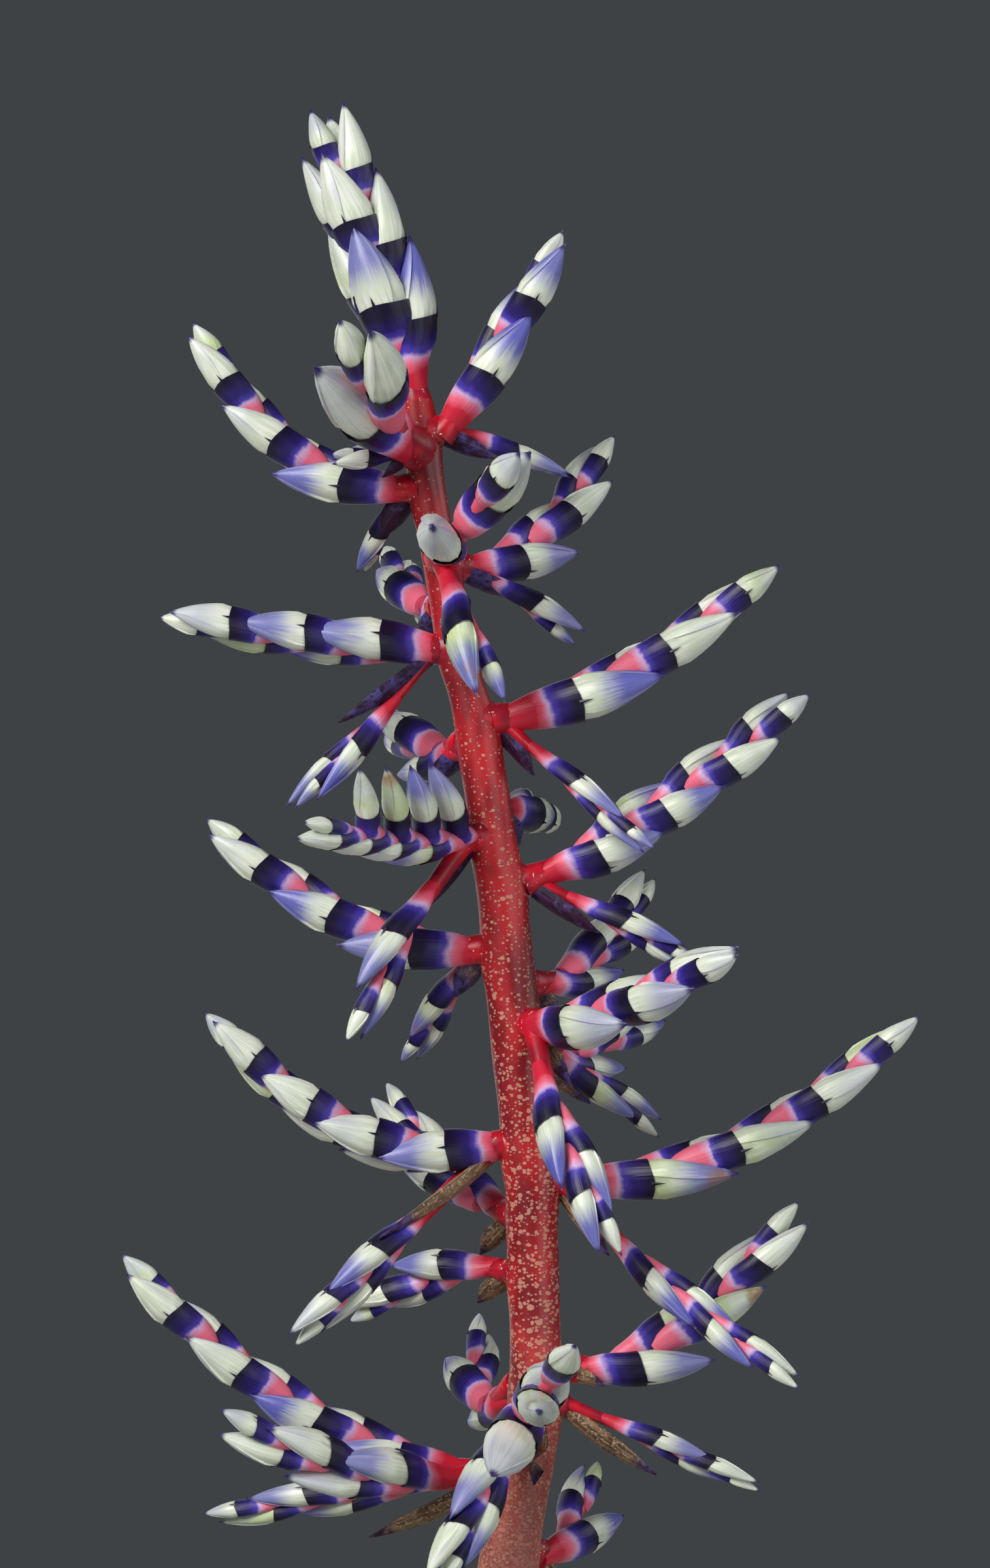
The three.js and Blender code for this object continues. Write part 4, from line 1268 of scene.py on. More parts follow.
@dataclass
class FlowerHead:
    """All the branches with their flowers, and the spike that ends the stem.

    A sleeve tells how far below its seat a cup begins, in millimetres, how wide it is there as a
    share of the stalk's radius, and how slowly it widens. shading is how much a spike's cups pale
    towards its end. lavender is the wash of its first flowers and end_tone the shade of its end
    flower, each as the least and what chance adds, and pale is the most that the other flowers
    are washed. blush is where the stalk turns pink, as shares of its length past the first flower.
    """

    stem: "FlowerStem"
    branches: tuple[Branch, ...] = BRANCHES
    crown: tuple[Spike, ...] = CROWN
    fork_reach: float = 1.6 * MM
    collar: float = 2.9 * MM
    collar_root: float = 2.0 * MM
    collar_nose: float = 3.4 * MM
    collar_flare: float = 0.45
    collar_height: float = 1.15
    bract_drop: float = 1.5 * MM
    bract_width: float = 3.4 * MM
    bract_thickness: float = 0.5 * MM
    bract_facing: Point = (0.0, 0.6, 1.0)
    bract_wrap: float = 1.35
    bract_depth: float = 0.75
    bract_sag: float = 0.12
    dry_below: float = 650.0
    dry_fades: float = 60.0
    first_sleeve: tuple[float, float, float] = (9.0, 0.95, 1.0)
    later_sleeve: tuple[float, float, float] = (7.5, 1.45, 0.7)
    shading: float = 0.6
    lavender: tuple[float, float] = (0.8, 0.2)
    pale: float = 0.35
    end_tone: tuple[float, float] = (0.45, 0.55)
    stalk_root: float = 1.5 * MM
    blush: tuple[float, float] = (-0.04, 0.2)
    materials: list[bpy.types.Material] = field(default_factory=list)

    def __post_init__(self) -> None:
        """Mix the finishes in the order of the organs."""
        self.materials = [StalkFinish().material(), CupFinish().material(),
                          PetalFinish().material(), ScaleFinish().material()]

    def build(self) -> None:
        """Build every branch, then the crown spike."""
        for number, branch in enumerate(self.branches, 1):
            rng = np.random.default_rng(number)
            skin = Skin()
            self.add_branch(skin, branch, rng)
            self.dress(skin, f"flower_branch_{number:02d}", f"branch_{number:02d}")
        skin = Skin()
        top = self.stem.path.points[-1]
        for number, ranks in enumerate(self.crown):
            self.add_spike(skin, SpikeAxis(top, top, ranks), np.random.default_rng(94 + number),
                           (CROWN_FLOWER, CROWN_END_FLOWER), ended=number == 0)
        self.dress(skin, "crown_spike", "top_spike")

    def dress(self, skin: Skin, name: str, node: str) -> None:
        """Make a piece of the patches, in the place of a node.

        Args:
            skin: The patches.
            name: The piece's name.
            node: The node that it replaces.
        """
        piece = skin.make(name, self.materials)
        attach(piece, "root")
        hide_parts(node)

    def add_branch(self, skin: Skin, branch: Branch, rng: np.random.Generator) -> None:
        """Add one branch: its collar on the stem, its long bract and its spikes.

        Args:
            skin: Where the patches go.
            branch: The branch.
            rng: Its own row of random numbers.
        """
        height = branch.at * MM
        centre, radius, outward = self.stem.centre(height), self.stem.radius(height), branch.outward()
        fork = centre + outward * (radius + self.fork_reach)
        self.add_collar(skin, centre, radius, outward)
        self.add_bract(skin, branch, centre + outward * radius - UP * self.bract_drop, rng)
        for made in branch.spikes:
            self.add_spike(skin, SpikeAxis(fork, centre, made), rng)

    def add_collar(self, skin: Skin, centre: Array, radius: float, outward: Array) -> None:
        """Add the swelling from which a branch's spikes fork: a round cone with a round nose.

        With t the share of the way out, from the collar's root inside the stem, its half width is
        collar * (1 + flare * (1 - t)^2) * sqrt(1.002 - t^4), and it is higher than wide.

        Args:
            skin: Where the patch goes.
            centre: The stem's centre at the branch.
            radius: The stem's radius there.
            outward: The branch's level direction.
        """
        climb = np.linspace(0.0, 1.0, 11)
        reach = radius - self.collar_root + climb * (self.fork_reach + self.collar_nose)
        flare = 1.0 + self.collar_flare * (1.0 - climb) ** 2
        half = self.collar * flare * np.sqrt(1.002 - climb ** 4)
        turn = full_turn(16)
        across = np.cross(outward, UP)
        ring = np.cos(turn)[:, None] * across + self.collar_height * np.sin(turn)[:, None] * UP
        rows = centre + reach[:, None, None] * outward + half[:, None, None] * ring
        skin.patch(rows, Organ.STALK.value, run=0.0, age=0.0)

    def add_bract(self, skin: Skin, branch: Branch, foot: Array, rng: np.random.Generator) -> None:
        """Add a branch's long bract: a narrow pointed boat that holds the fork from below.

        Its half width is a share 0.7 at the foot, 1 at 0.4 of its length and almost 0 at its tip.
        Across it lies an arc: half width * sin(turn) to the side and half width * depth *
        (1 - cos(turn)) up, with the turn from -wrap to wrap. Its middle hangs below the straight
        line by sag times its length.

        Args:
            skin: Where the patch goes.
            branch: The branch.
            foot: Where the bract leaves the stem.
            rng: The branch's own row of random numbers.
        """
        tip = self.stem.centre(branch.at * MM) + MM * np.array(branch.bract)
        sag = self.bract_sag * np.linalg.norm(tip - foot) * UP
        climb = np.linspace(0.0, 1.0, 22)
        points, along = Path.bend(foot, (foot + tip) / 2 - sag, tip).at(climb)
        across = unit(np.cross(along, np.array(self.bract_facing)))
        face = np.cross(across, along)
        half = self.bract_width * np.interp(climb, [0.0, 0.2, 0.4, 0.6, 0.78, 0.9, 0.96, 1.0],
                                            [0.7, 0.92, 1.0, 0.96, 0.7, 0.36, 0.16, 0.03])
        sides, skins = two_skins(self.bract_thickness, 9)
        turn = self.bract_wrap * sides
        breadth = half[:, None] * np.sin(turn) - skins * np.sin(turn)
        lift = half[:, None] * self.bract_depth * (1.0 - np.cos(turn)) + skins * np.cos(turn)
        rows = (points[:, None] + breadth[..., None] * across[:, None]
                + lift[..., None] * face[:, None])
        dryness = float(ease(self.dry_below + self.dry_fades, self.dry_below - self.dry_fades,
                             branch.at))
        skin.patch(rows, Organ.BRACT.value, run=climb[:, None], side=sides, tone=rng.random(),
                   age=dryness)

    def add_spike(self, skin: Skin, axis: SpikeAxis, rng: np.random.Generator,
                  forms: tuple[FlowerForm, FlowerForm] = (SIDE_FLOWER, END_FLOWER),
                  ended: bool = True) -> None:
        """Add one spike: its axis, and a flower at each node, by turns on its two sides.

        Args:
            skin: Where the patches go.
            axis: The spike's axis.
            rng: The branch's own row of random numbers.
            forms: The sizes of its side flowers and of its end flower.
            ended: Whether a flower stands on the axis's end.
        """
        self.add_stalk(skin, axis)
        made, count = axis.made, axis.count
        roots, along, flanks = axis.frame(axis.nodes)
        waists = axis.radius(axis.nodes) / (MM * made.size * made.slim)
        coloured = rng.integers(1, 4)
        for number in range(count + ended):
            size = made.size * (1.0 - SpikeAxis.SHRINK * number / count)
            outward = flanks[number] if number % 2 == 0 else -flanks[number]
            form = forms[number == count]
            opened = made.spread is not None and number % 2 == 0 and number < count
            spread = made.spread if opened else form.spread * made.slim
            skirt, hug, slow = self.later_sleeve if number else self.first_sleeve
            flower = Flower(roots[number], along[number], outward, size, made.slim, spread, form,
                            (skirt, hug * waists[number], slow))
            shade = rng.random() - self.shading * (number / count) ** 2
            flower.cup(skin, shade, float(number > 0))
            least, more = self.lavender if number < coloured else (0.0, self.pale)
            wash = least + more * rng.random()
            least, more = self.end_tone if number == count else (0.0, 1.0)
            tone = least + more * rng.random()
            flower.petals(skin, tone, made.wash * wash, rng.random())

    def add_stalk(self, skin: Skin, axis: SpikeAxis) -> None:
        """Add the tube of a spike's axis: a ring of the axis's radius, carried along it.

        Args:
            skin: Where the patch goes.
            axis: The spike's axis.
        """
        root = -self.stalk_root / axis.path.length
        shares = np.linspace(root, axis.nodes[-1], 12 + 5 * axis.count)
        points, along, flank = axis.frame(shares)
        turn = full_turn(12)
        ring = hoops(turn, flank, np.cross(along, flank))
        rows = points[:, None] + axis.radius(shares)[:, None, None] * ring
        pink = ease(axis.nodes[0] + self.blush[0], axis.nodes[0] + self.blush[1], shares)
        skin.patch(rows, Organ.STALK.value, run=shares[:, None], back=np.cos(turn)[None, :],
                   side=np.sin(turn)[None, :], age=pink[:, None])


@dataclass(frozen=True)
class Sheath:
    """A dry bract that clasps the bare stem: height and length in millimetres, azimuth in degrees."""

    at: float
    azimuth: float
    length: float


@dataclass
class FlowerStem:
    """The flower stem: it leaves the pot upright, leans right, then bends left at each branch.

    line gives its centre as places to the right and heights, and radii its heights and radii, all
    in millimetres.
    """

    line: tuple[tuple[float, float], ...] = (
        (0, 110.3), (1, 180), (5, 265), (13, 350), (24, 440), (35, 520), (41, 556), (40.5, 606),
        (37, 640), (35, 663), (32, 686), (28.5, 709), (22, 738), (17, 767), (14, 788),
    )
    radii: tuple[tuple[float, float], ...] = (
        (110, 7.2), (520, 6.8), (557, 5.8), (663, 5.7), (709, 4.9), (722, 4.2), (788, 3.8),
    )
    sheaths: tuple[Sheath, ...] = (
        Sheath(250, 200, 82), Sheath(318, 335, 78), Sheath(386, 110, 72), Sheath(450, 245, 64),
    )
    sheath_width: float = 9.0 * MM
    sheath_thickness: float = 0.8 * MM
    sheath_lean: float = 0.1
    swelling: float = 0.9 * MM
    swelling_reach: float = 6.0 * MM
    swelling_drop: float = 2.0 * MM
    path: Path = field(init=False)

    def __post_init__(self) -> None:
        """Lay the stem's line."""
        knots = MM * np.array([(x, 0.0, z) for x, z in self.line])
        self.path = Path.through(knots)

    def centre(self, height: Array | float) -> Array:
        """Return the stem's centre at a height, in metres."""
        points = self.path.points
        return np.stack([np.interp(height, points[:, 2], points[:, axis]) for axis in range(3)], -1)

    def radius(self, height: Array | float) -> Array:
        """Return the stem's radius at a height, in metres."""
        heights, widths = MM * np.array(self.radii).T
        return np.interp(height, heights, widths)

    def build(self) -> None:
        """Build the stem with its sheaths."""
        skin = Skin()
        self.add_tube(skin)
        for number, sheath in enumerate(self.sheaths):
            self.add_sheath(skin, sheath, 0.2 + 0.2 * number)
        piece = skin.make("scurfy_stem", [StemFinish().material(), SheathFinish().material()])
        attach(piece, "root")
        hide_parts("flower_stem")

    def add_tube(self, skin: Skin) -> None:
        """Add the stem itself.

        It is a tube along the line. It swells towards each branch by swelling *
        exp(-(height from a place just under the branch / reach)^2) * the squared cosine of the
        turn to it.

        Args:
            skin: Where the patch goes.
        """
        shares = np.linspace(0.0, 1.0, 380)
        centres, along = self.path.at(shares)
        turn = full_turn(40)
        ring = hoops(turn, unit(np.cross(FRONT, along)), FRONT[None])
        radius = np.repeat(self.radius(centres[:, 2])[:, None], len(turn), axis=1)
        for branch in BRANCHES:
            above = centres[:, 2] - branch.at * MM + self.swelling_drop
            near = np.exp(-(above / self.swelling_reach) ** 2)
            towards = np.clip(ring @ branch.outward(), 0.0, 1.0) ** 2
            radius = radius + self.swelling * near[:, None] * towards
        skin.patch(centres[:, None] + radius[..., None] * ring, 0, run=shares[:, None])

    def add_sheath(self, skin: Skin, sheath: Sheath, tone: float) -> None:
        """Add one sheath: a lance wrapped round the stem that leans off it towards its tip.

        Its half width, as an arc round the stem, narrows from its foot to its tip, and it stands
        off the stem by lean * length * (share of its length)^1.5. Its foot thins out on the stem.

        Args:
            skin: Where the patch goes.
            sheath: The sheath.
            tone: Its own shade.
        """
        climb = np.linspace(0.0, 1.0, 40)[:, None]
        half = self.sheath_width * np.interp(climb, [0.0, 0.3, 0.6, 0.85, 1.0],
                                             [1.2, 0.98, 0.6, 0.22, 0.02])
        sides, skins = two_skins(self.sheath_thickness, 13)
        length = sheath.length * MM
        centres = self.centre(sheath.at * MM + length * climb[:, 0])
        stand = self.radius(sheath.at * MM) + self.sheath_lean * length * climb ** 1.5
        turn = math.radians(sheath.azimuth) + sides * half / stand
        reach = stand + skins * ease(-0.02, 0.14, climb)
        rows = centres[:, None] + reach[..., None] * level_ways(turn)
        skin.patch(rows, 1, run=climb, side=sides, tone=tone)


@dataclass(frozen=True)
class LeafRing:
    """A ring of leaves: sizes in millimetres, and its angles in degrees.

    turn is the first leaf's azimuth, radius the distance of the leaves' feet from the middle, and
    lean a leaf's angle from the vertical at its base and at its tip.
    """

    count: int
    turn: float
    radius: float
    length: float
    lean: tuple[float, float]
    half_width: float


@dataclass
class Rosette:
    """The strap leaves, from the upright young ones inside to the arching old ones.

    Lengths are millimetres, and lean_varies is in degrees. wrap is the half angle in radians that
    a leaf's base fills round the axis, thinning the share of its thickness that it loses towards
    its tip, and point the share of its width that its tip keeps. Thorns stand from the share
    thorns_from of its length on, over thorns_over of it, in a number that thorny sets. A thorn's
    halves are its half width at its foot, along the edge or across the tip, and its half depth.
    """

    rings: tuple[LeafRing, ...] = (
        LeafRing(4, 20, 15, 275, (4, 40), 21),
        LeafRing(5, 52, 22, 345, (9, 76), 25),
        LeafRing(6, 10, 30, 400, (16, 116), 27),
    )
    foot: float = 138.3
    thickness: float = 1.5
    edge_thickness: float = 0.5
    thinning: float = 0.4
    wrap: float = 0.44
    sheath: float = 45.0
    channel: float = 6.0
    curl: float = 1.4
    taper: float = 0.3
    point: float = 0.05
    length_varies: float = 0.07
    lean_varies: float = 4.0
    wave: float = 0.8
    wave_run: float = 11.0
    thorny: float = 0.82
    thorns_from: float = 0.13
    thorns_over: float = 0.83
    thorn_pitch: float = 7.0
    thorn_length: float = 2.6
    thorn_root: float = 0.4
    thorn_halves: tuple[float, float] = (1.1, 0.3)
    thorn_lean: float = 0.45
    end_thorn: float = 7.0
    end_thorn_root: float = 2.0
    end_thorn_halves: tuple[float, float] = (1.2, 0.5)

    def build(self) -> None:
        """Build each leaf as a piece of its own."""
        materials = [LeafFinish().material(), ThornFinish().material()]
        number = 0
        for ring in self.rings:
            for index in range(ring.count):
                number += 1
                skin = Skin()
                self.add_leaf(skin, ring, index, number)
                piece = skin.make(f"strap_leaf_{number:02d}", materials)
                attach(piece, "root")
                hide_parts(f"leaf_{number:02d}")

    def add_leaf(self, skin: Skin, ring: LeafRing, index: int, number: int) -> None:
        """Add one leaf with its thorns.

        A leaf leans by first + (last - first) * share^curl at each share of its length, and its
        distance and height are the running sums of the sine and cosine of that lean. It is bent
        round the rosette's axis, and past the sheath its edges stand up by channel * side^2. A
        small wave runs along each edge. Its half width is the ring's, or near its foot wrap *
        distance from the axis, and over the last taper of its length it narrows by sqrt(1 - t^2).

        Args:
            skin: Where the patches go.
            ring: Its ring.
            index: Its number in the ring.
            number: Its number in the rosette.
        """
        length = ring.length * (1.0 + self.length_varies * vary(number, 1))
        azimuth = math.radians(ring.turn + 360.0 * index / ring.count)
        last = ring.lean[1] + self.lean_varies * vary(number, 2)
        dense = np.linspace(0.0, 1.0, 1201)
        lean = np.radians(ring.lean[0] + (last - ring.lean[0]) * dense ** self.curl)
        steps = length * np.diff(dense, prepend=0.0)
        radii = ring.radius + np.cumsum(np.sin(lean) * steps)
        heights = self.foot + np.cumsum(np.cos(lean) * steps)

        # The rows draw together at the tip, where the outline turns fastest.
        tip_rows = 0.9 + 0.1 * np.sin(np.linspace(0.0, math.pi / 2, 16)[1:])
        share = np.concatenate([np.linspace(0.0, 0.9, 70), tip_rows])[:, None]
        lean, radius, height = (np.interp(share, dense, line) for line in (lean, radii, heights))
        end = np.clip((share - 1.0 + self.taper) / self.taper, 0.0, 1.0)
        half = (np.minimum(ring.half_width, self.wrap * radius)
                * np.maximum(self.point, np.sqrt(1.0 - end ** 2)))
        opened = np.clip((share * length - self.sheath) / self.sheath, 0.0, 1.0)
        channel = self.channel * opened * half / ring.half_width

        def surface(side: Array, face: Array) -> Array:
            """Read points of the leaf in every row.

            Args:
                side: Places across it, from -1 to 1.
                face: Heights over its middle skin.

            Returns:
                The points, in metres.
            """
            flutter = self.wave * opened * side ** 4 * np.sin(
                share * length / self.wave_run + 2.0 * side + number) * np.sqrt(1.0 - end ** 2)
            turn = azimuth + side * half / radius
            up = side ** 2 * channel + flutter + face
            reach = radius - np.cos(lean) * up
            return MM * np.stack([reach * np.cos(turn), reach * np.sin(turn),
                                  height + np.sin(lean) * up], -1)

        side = np.sin(np.linspace(-math.pi / 2, math.pi / 2, 13))
        thick = (self.edge_thickness + (self.thickness - self.edge_thickness)
                 * (1.0 - side ** 2)) / 2
        sides = np.concatenate([side, side[::-1]])[None, :]
        faces = np.concatenate([thick, -thick[::-1]])[None, :]
        tone = (vary(number, 3) + 1.0) / 2
        skin.patch(surface(sides, faces * (1.0 - self.thinning * share)), 0, run=share, side=sides,
                   back=np.sign(faces), tone=tone)
        self.add_thorns(skin, surface, share[:, 0], length, tone)

    def add_thorns(self, skin: Skin, surface: Surface, share: Array, length: float,
                   tone: float) -> None:
        """Add the thorns along both edges of a leaf and the one that ends it.

        Along an edge their size is 0.6 + 0.4 * sin(pi * share of the leaf's length).

        Args:
            skin: Where the patches go.
            surface: The leaf's surface.
            share: The rows at which it is read.
            length: The leaf's length in millimetres.
            tone: The leaf's own shade.
        """
        count = int(self.thorny * length / self.thorn_pitch)
        places = self.thorns_from + self.thorns_over * np.arange(count) / count
        wide, thin = self.thorn_halves
        for edge in (-1.0, 1.0):
            rim = surface(np.array([[edge]]), np.zeros((1, 1)))[:, 0]
            inner = surface(np.array([[0.9 * edge]]), np.zeros((1, 1)))[:, 0]
            read = [np.stack([np.interp(places, share, line[:, axis]) for axis in range(3)], -1)
                    for line in (rim, inner)]
            out = unit(read[0] - read[1])
            ahead = unit(np.gradient(read[0], axis=0))
            small = 0.6 + 0.4 * np.sin(math.pi * places)[:, None]
            aims = MM * self.thorn_length * small * unit(out + self.thorn_lean * ahead)
            root = self.thorn_root * MM * out
            skin.thorns(read[0] - root, aims + root, wide * MM * small * ahead,
                        thin * MM * unit(np.cross(out, ahead)), 1, tone=tone)
        spine = surface(np.array([[0.0]]), np.zeros((1, 1)))[:, 0]
        ahead = unit(spine[-1:] - spine[-4:-3])
        across = unit(np.cross(ahead, UP + 1e-3))
        wide, thin = self.end_thorn_halves
        skin.thorns(spine[-1:] - self.end_thorn_root * MM * ahead, self.end_thorn * MM * ahead,
                    wide * MM * across, thin * MM * np.cross(across, ahead), 1, tone=tone)


@dataclass
class ClayPot:
    """The pot: a fired clay pot with a rim, soft corners and four drain holes, in millimetres."""

    height: float = 170.0
    top_radius: float = 96.0
    base_radius: float = 63.0
    wall: float = 8.0
    floor: float = 10.0
    rim_height: float = 32.0
    rim_rise: float = 1.0
    rim_chamfer: tuple[float, float] = (2.0, 6.0)
    lip: float = 5.0
    soft: float = 2.2
    drain_count: int = 4
    drain_radius: float = 5.0
    drain_ring: float = 36.0
    wobble: float = 0.25
    ridges: float = 0.12
    columns: int = 160
    row_height: float = 6.0

    def inside(self, height: Array | float) -> Array | float:
        """Return the radius of the inner wall at a height."""
        top = self.top_radius - self.lip
        return self.base_radius + (top - self.base_radius) * height / self.height - self.wall

    def corners(self) -> Array:
        """List the profile's corners, from the axis below to the axis on the floor.

        Returns:
            The corners as distances from the axis and heights.
        """
        ledge = self.height - self.rim_height
        wall_top = self.inside(ledge) + self.wall
        cut, cut_top = self.rim_chamfer
        return np.array([
            (1.0, 0.0), (self.base_radius, 0.0), (wall_top, ledge),
            (self.top_radius - cut, ledge + self.rim_rise), (self.top_radius, ledge + cut_top),
            (self.top_radius, self.height), (self.inside(self.height), self.height),
            (self.inside(self.floor), self.floor), (1.0, self.floor),
        ])

    def profile(self) -> Array:
        """Round the profile: each corner is cut by a parabola that starts soft from it.

        Returns:
            The profile's points as distances from the axis and heights.
        """
        corners = self.corners()
        lines = [corners[:1]]
        for before, corner, after in zip(corners, corners[1:], corners[2:]):
            t = np.linspace(0.0, 1.0, 6)[:, None]
            near = [corner + min(self.soft, np.linalg.norm(other - corner) / 2.1)
                    * unit(other - corner) for other in (before, after)]
            lines.append((1 - t) ** 2 * near[0] + 2 * t * (1 - t) * corner + t ** 2 * near[1])
        lines.append(corners[-1:])
        return np.concatenate(lines)

    def build(self) -> None:
        """Build the pot: the profile spun round the axis, with slight marks of the wheel.

        Its radius gains wobble * sin(2 * turn) * height / full height, and ridges as sine waves up
        the wall. Both fade out towards the middle of its floor.
        """
        profile = self.profile()
        spans = np.linalg.norm(np.diff(profile, axis=0), axis=1)
        counts = np.maximum(1, (spans / self.row_height).astype(int))
        lines = [np.linspace(a, b, n, endpoint=False)
                 for a, b, n in zip(profile, profile[1:], counts)]
        profile = np.concatenate([*lines, profile[-1:]])
        turn = full_turn(self.columns)[None, :]
        radius, height = profile[:, :1], profile[:, 1:]
        wobble = self.wobble * np.sin(2 * turn + 0.7) * height / self.height
        ridges = self.ridges * np.sin(height * 0.9 + 0.4 * np.sin(turn))
        reach = radius + (wobble + ridges) * ease(2.0, 20.0, radius)
        rows = MM * np.stack([reach * np.cos(turn), reach * np.sin(turn), height + 0.0 * turn], -1)
        skin = Skin()
        skin.patch(rows, 0)
        piece = skin.make("clay_pot", [ClayFinish().material()], crease=80.0)
        self.drill(piece)
        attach(piece, "root")
        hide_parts("pot")

    def drill(self, piece: bpy.types.Object) -> None:
        """Cut the drain holes through the floor.

        Args:
            piece: The pot.
        """
        drills = Skin()
        ring = level_ways(full_turn(24))
        for number in range(self.drain_count):
            angle = (number + 0.5) * 2 * math.pi / self.drain_count
            middle = self.drain_ring * np.array([math.cos(angle), math.sin(angle), 0.0])
            ends = np.array([-self.floor, 2 * self.floor])[:, None, None] * UP
            drills.patch(MM * (middle + self.drain_radius * ring[None] + ends), 0)
        cutter = drills.make("drain_drills", [])
        cut = piece.modifiers.new("drain", "BOOLEAN")
        cut.object = cutter
        cut.operation = "DIFFERENCE"
        cut.solver = "EXACT"
        shaped = piece.evaluated_get(bpy.context.evaluated_depsgraph_get())
        mesh = bpy.data.meshes.new_from_object(shaped)
        piece.modifiers.clear()
        piece.data = mesh
        bpy.data.objects.remove(cutter)


@dataclass
class PottingMix:
    """The potting mix and the bark chips on it, in millimetres."""

    pot: ClayPot
    level: float = 150.0
    crown: float = 3.0
    shoulder: float = 2.5
    gap: float = 0.5
    lumps: float = 1.6
    lump_count: int = 12
    lump_lengths: tuple[float, float] = (40.0, 9.0)
    chip_count: int = 420
    chip_ring: tuple[float, float] = (33.0, 80.0)
    chip_size: tuple[float, float] = (5.0, 13.0)
    chip_breadth: tuple[float, float] = (0.45, 0.8)
    chip_depth: tuple[float, float] = (0.15, 0.35)
    chip_corners: tuple[float, float] = (0.7, 1.0)
    chip_tilt: float = 0.32
    chip_lift: float = 0.25

    def heights(self, x: Array, y: Array) -> Array:
        """Return the surface's height.

        It is a low dome, level - crown * (distance / edge)^2, with lumps: lumps / 3.5 times the
        sum of twelve waves of random direction and phase, from 9 to 40 mm long. 3.5 is about the
        root of twelve.

        Args:
            x: Places to the right, in millimetres.
            y: Places away.

        Returns:
            The heights.
        """
        rng = np.random.default_rng(5)
        lumps = 0.0 * x
        for long in np.geomspace(*self.lump_lengths, self.lump_count):
            angle, phase = 2 * math.pi * rng.random(2)
            way = (x * math.cos(angle) + y * math.sin(angle)) / long
            lumps = lumps + np.sin(2 * math.pi * way + phase)
        edge = self.pot.inside(self.level)
        return self.level - self.crown * (x * x + y * y) / edge ** 2 + self.lumps * lumps / 3.5

    def build(self) -> None:
        """Build the mix, then the chips."""
        self.build_mix()
        self.build_chips()

    def build_mix(self) -> None:
        """Build the mix: the pot's inner shape, filled up to the lumpy surface."""
        turn = full_turn(150)[None, :]
        low, high = self.pot.floor + self.gap, self.level - self.crown
        wall = np.linspace(low, high - self.shoulder, 12)[:, None]
        edge = self.pot.inside(high) - self.gap
        across = np.linspace(edge, 1.0, 52)[:, None]
        radius = np.concatenate([[[1.0]], self.pot.inside(wall) - self.gap, across]) + 0.0 * turn
        x, y = radius * np.cos(turn), radius * np.sin(turn)
        height = np.concatenate([[[low]], wall, 0.0 * across]) + 0.0 * turn
        top = slice(1 + len(wall), None)
        height[top] = self.heights(x[top], y[top])
        skin = Skin()
        skin.patch(MM * np.stack([x, y, height], -1), 0)
        piece = skin.make("potting_mix", [MixFinish().material()])
        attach(piece, "root")
        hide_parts("soil")

    def build_chips(self) -> None:
        """Build the chips: eight-cornered blocks, each with its own size, turn and tilt."""
        rng = np.random.default_rng(11)
        count = self.chip_count
        inner, outer = self.chip_ring
        ring = np.sqrt(rng.uniform(inner ** 2, outer ** 2, count))
        turn = rng.uniform(0.0, 2 * math.pi, count)
        x, y = ring * np.cos(turn), ring * np.sin(turn)
        longest = rng.uniform(*self.chip_size, count)
        sizes = np.stack([longest, longest * rng.uniform(*self.chip_breadth, count),
                          longest * rng.uniform(*self.chip_depth, count)], -1)
        middle = np.stack([x, y, self.heights(x, y) + self.chip_lift * sizes[:, 2]], -1)
        signs = np.array([[a, b, c] for c in (-1, 1) for a, b in ((-1, -1), (1, -1), (1, 1), (-1, 1))])
        worn = rng.uniform(*self.chip_corners, (count, 8, 3))
        blocks = signs[None] * (sizes[:, None] / 2) * worn
        spin = rng.uniform(0.0, 2 * math.pi, count)
        tilt = rng.normal(0.0, self.chip_tilt, (count, 2))
        along = unit(np.stack([np.cos(spin), np.sin(spin), tilt[:, 0]], -1))
        across = unit(np.cross(UP, along) + tilt[:, 1:] * UP)
        up = unit(np.cross(along, across))
        across = np.cross(up, along)
        axes = np.stack([along, across, up], axis=1)
        corners = middle[:, None] + blocks @ axes
        first = 8 * np.arange(count)[:, None, None]
        sides = np.array([[3, 2, 1, 0], [4, 5, 6, 7], [0, 1, 5, 4], [1, 2, 6, 5], [2, 3, 7, 6],
                          [3, 0, 4, 7]])
        quads = (first + sides).reshape(-1, 4)
        tones = np.repeat(rng.random(count), 8)
        skin = Skin()
        skin.solid(MM * corners.reshape(-1, 3), quads, np.empty((0, 3), int), 0, {"tone": tones})
        piece = skin.make("bark_chips", [BarkFinish().material()], crease=30.0)
        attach(piece, "root")


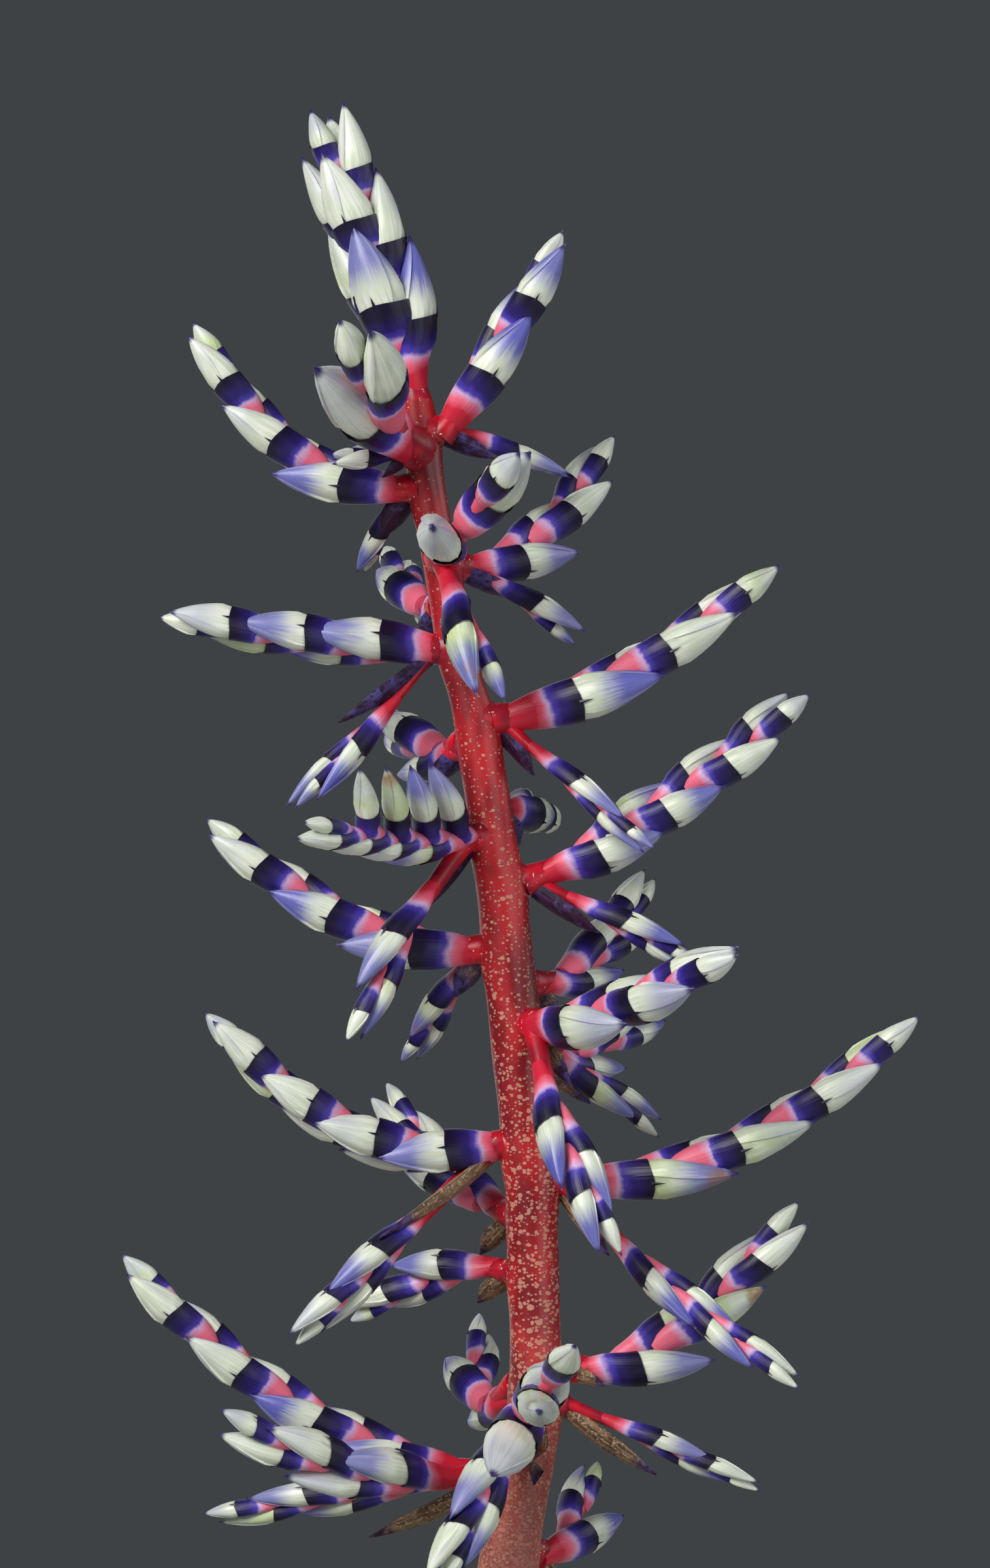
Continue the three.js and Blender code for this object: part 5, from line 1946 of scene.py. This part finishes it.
@dataclass
class Studio:
    """The floor, the soft lights, the grey surroundings and the camera.

    target is the place in the flower head that the lights face, and eye the camera's place.
    """

    floor_radius: float = 2.8
    floor_drop: float = 0.2 * MM
    floor_thickness: float = 0.02
    floor_tints: tuple[Colour, Colour] = (tint("#c9c8c4"), tint("#d6d5d1"))
    grey: Colour = tint("#3e4244")
    target: Point = (0.03, 0.0, 0.68)
    eye: Point = (32.2 * MM, -1.2, 0.7)
    lens: float = 120.0
    sensor: float = 36.0

    def build(self) -> None:
        """Set up the whole studio."""
        self.lay_floor()
        self.grey_world()
        self.lamp("key", (-0.85, -1.15, 1.55), 0.9, 34.0, (1.0, 0.98, 0.95))
        self.lamp("fill", (1.1, -1.2, 0.75), 1.2, 7.0, (0.94, 0.97, 1.0))
        self.lamp("side", (1.5, 0.1, 1.2), 1.0, 6.0, (1.0, 1.0, 1.0))
        self.lamp("back", (-0.6, 1.5, 0.9), 1.6, 5.0, (0.96, 0.98, 1.0))
        self.set_camera()

    def lay_floor(self) -> None:
        """Lay a round pale floor just under the pot."""
        ring = level_ways(full_turn(96))
        depth = self.floor_drop + np.array([0.0, self.floor_thickness])[:, None, None]
        skin = Skin()
        skin.patch(self.floor_radius * ring[None] - depth * UP, 0)
        recipe = Recipe("pale_floor", roughness=0.7)
        colour = recipe.mix(recipe.noise(recipe.place(), 3.0), *self.floor_tints)
        piece = skin.make("studio_floor", [recipe.finish(colour)])

    def grey_world(self) -> None:
        """Surround the plant with an even neutral grey."""
        world = bpy.data.worlds.new("studio_grey")
        world.use_nodes = True
        world.node_tree.nodes["Background"].inputs["Color"].default_value = (*self.grey, 1.0)
        bpy.context.scene.world = world
        bpy.context.scene.view_settings.view_transform = "Standard"

    def lamp(self, name: str, place: Point, size: float, power: float, colour: Colour) -> None:
        """Hang a square soft light that faces the flowers.

        Args:
            name: Its name.
            place: Where it hangs.
            size: Its side.
            power: Its power in watts.
            colour: Its colour.
        """
        lamp = bpy.data.lights.new(name, "AREA")
        lamp.size = size
        lamp.energy = power
        lamp.color = colour
        hung = bpy.data.objects.new(name, lamp)
        hung.location = place
        heading = np.array(self.target) - np.array(place)
        hung.rotation_euler = Vector(heading).to_track_quat("-Z", "Y").to_euler()
        bpy.context.scene.collection.objects.link(hung)

    def set_camera(self) -> None:
        """Set the level camera that sees what the photo shows."""
        lens = bpy.data.cameras.new("camera")
        lens.lens = self.lens
        lens.sensor_width = self.sensor
        camera = bpy.data.objects.new("camera", lens)
        camera.location = self.eye
        camera.rotation_euler = (math.pi / 2, 0.0, 0.0)
        bpy.context.scene.collection.objects.link(camera)
        bpy.context.scene.camera = camera


def main() -> None:
    """Build the potted bromeliad from the ground up, then the studio round it."""
    logging.basicConfig(level=logging.INFO, format="%(name)s: %(message)s")
    pot = ClayPot()
    stem = FlowerStem()
    pot.build()
    PottingMix(pot).build()
    Rosette().build()
    stem.build()
    FlowerHead(stem).build()
    Studio().build()
    bpy.context.view_layer.update()


if __name__ == "__main__":
    main()
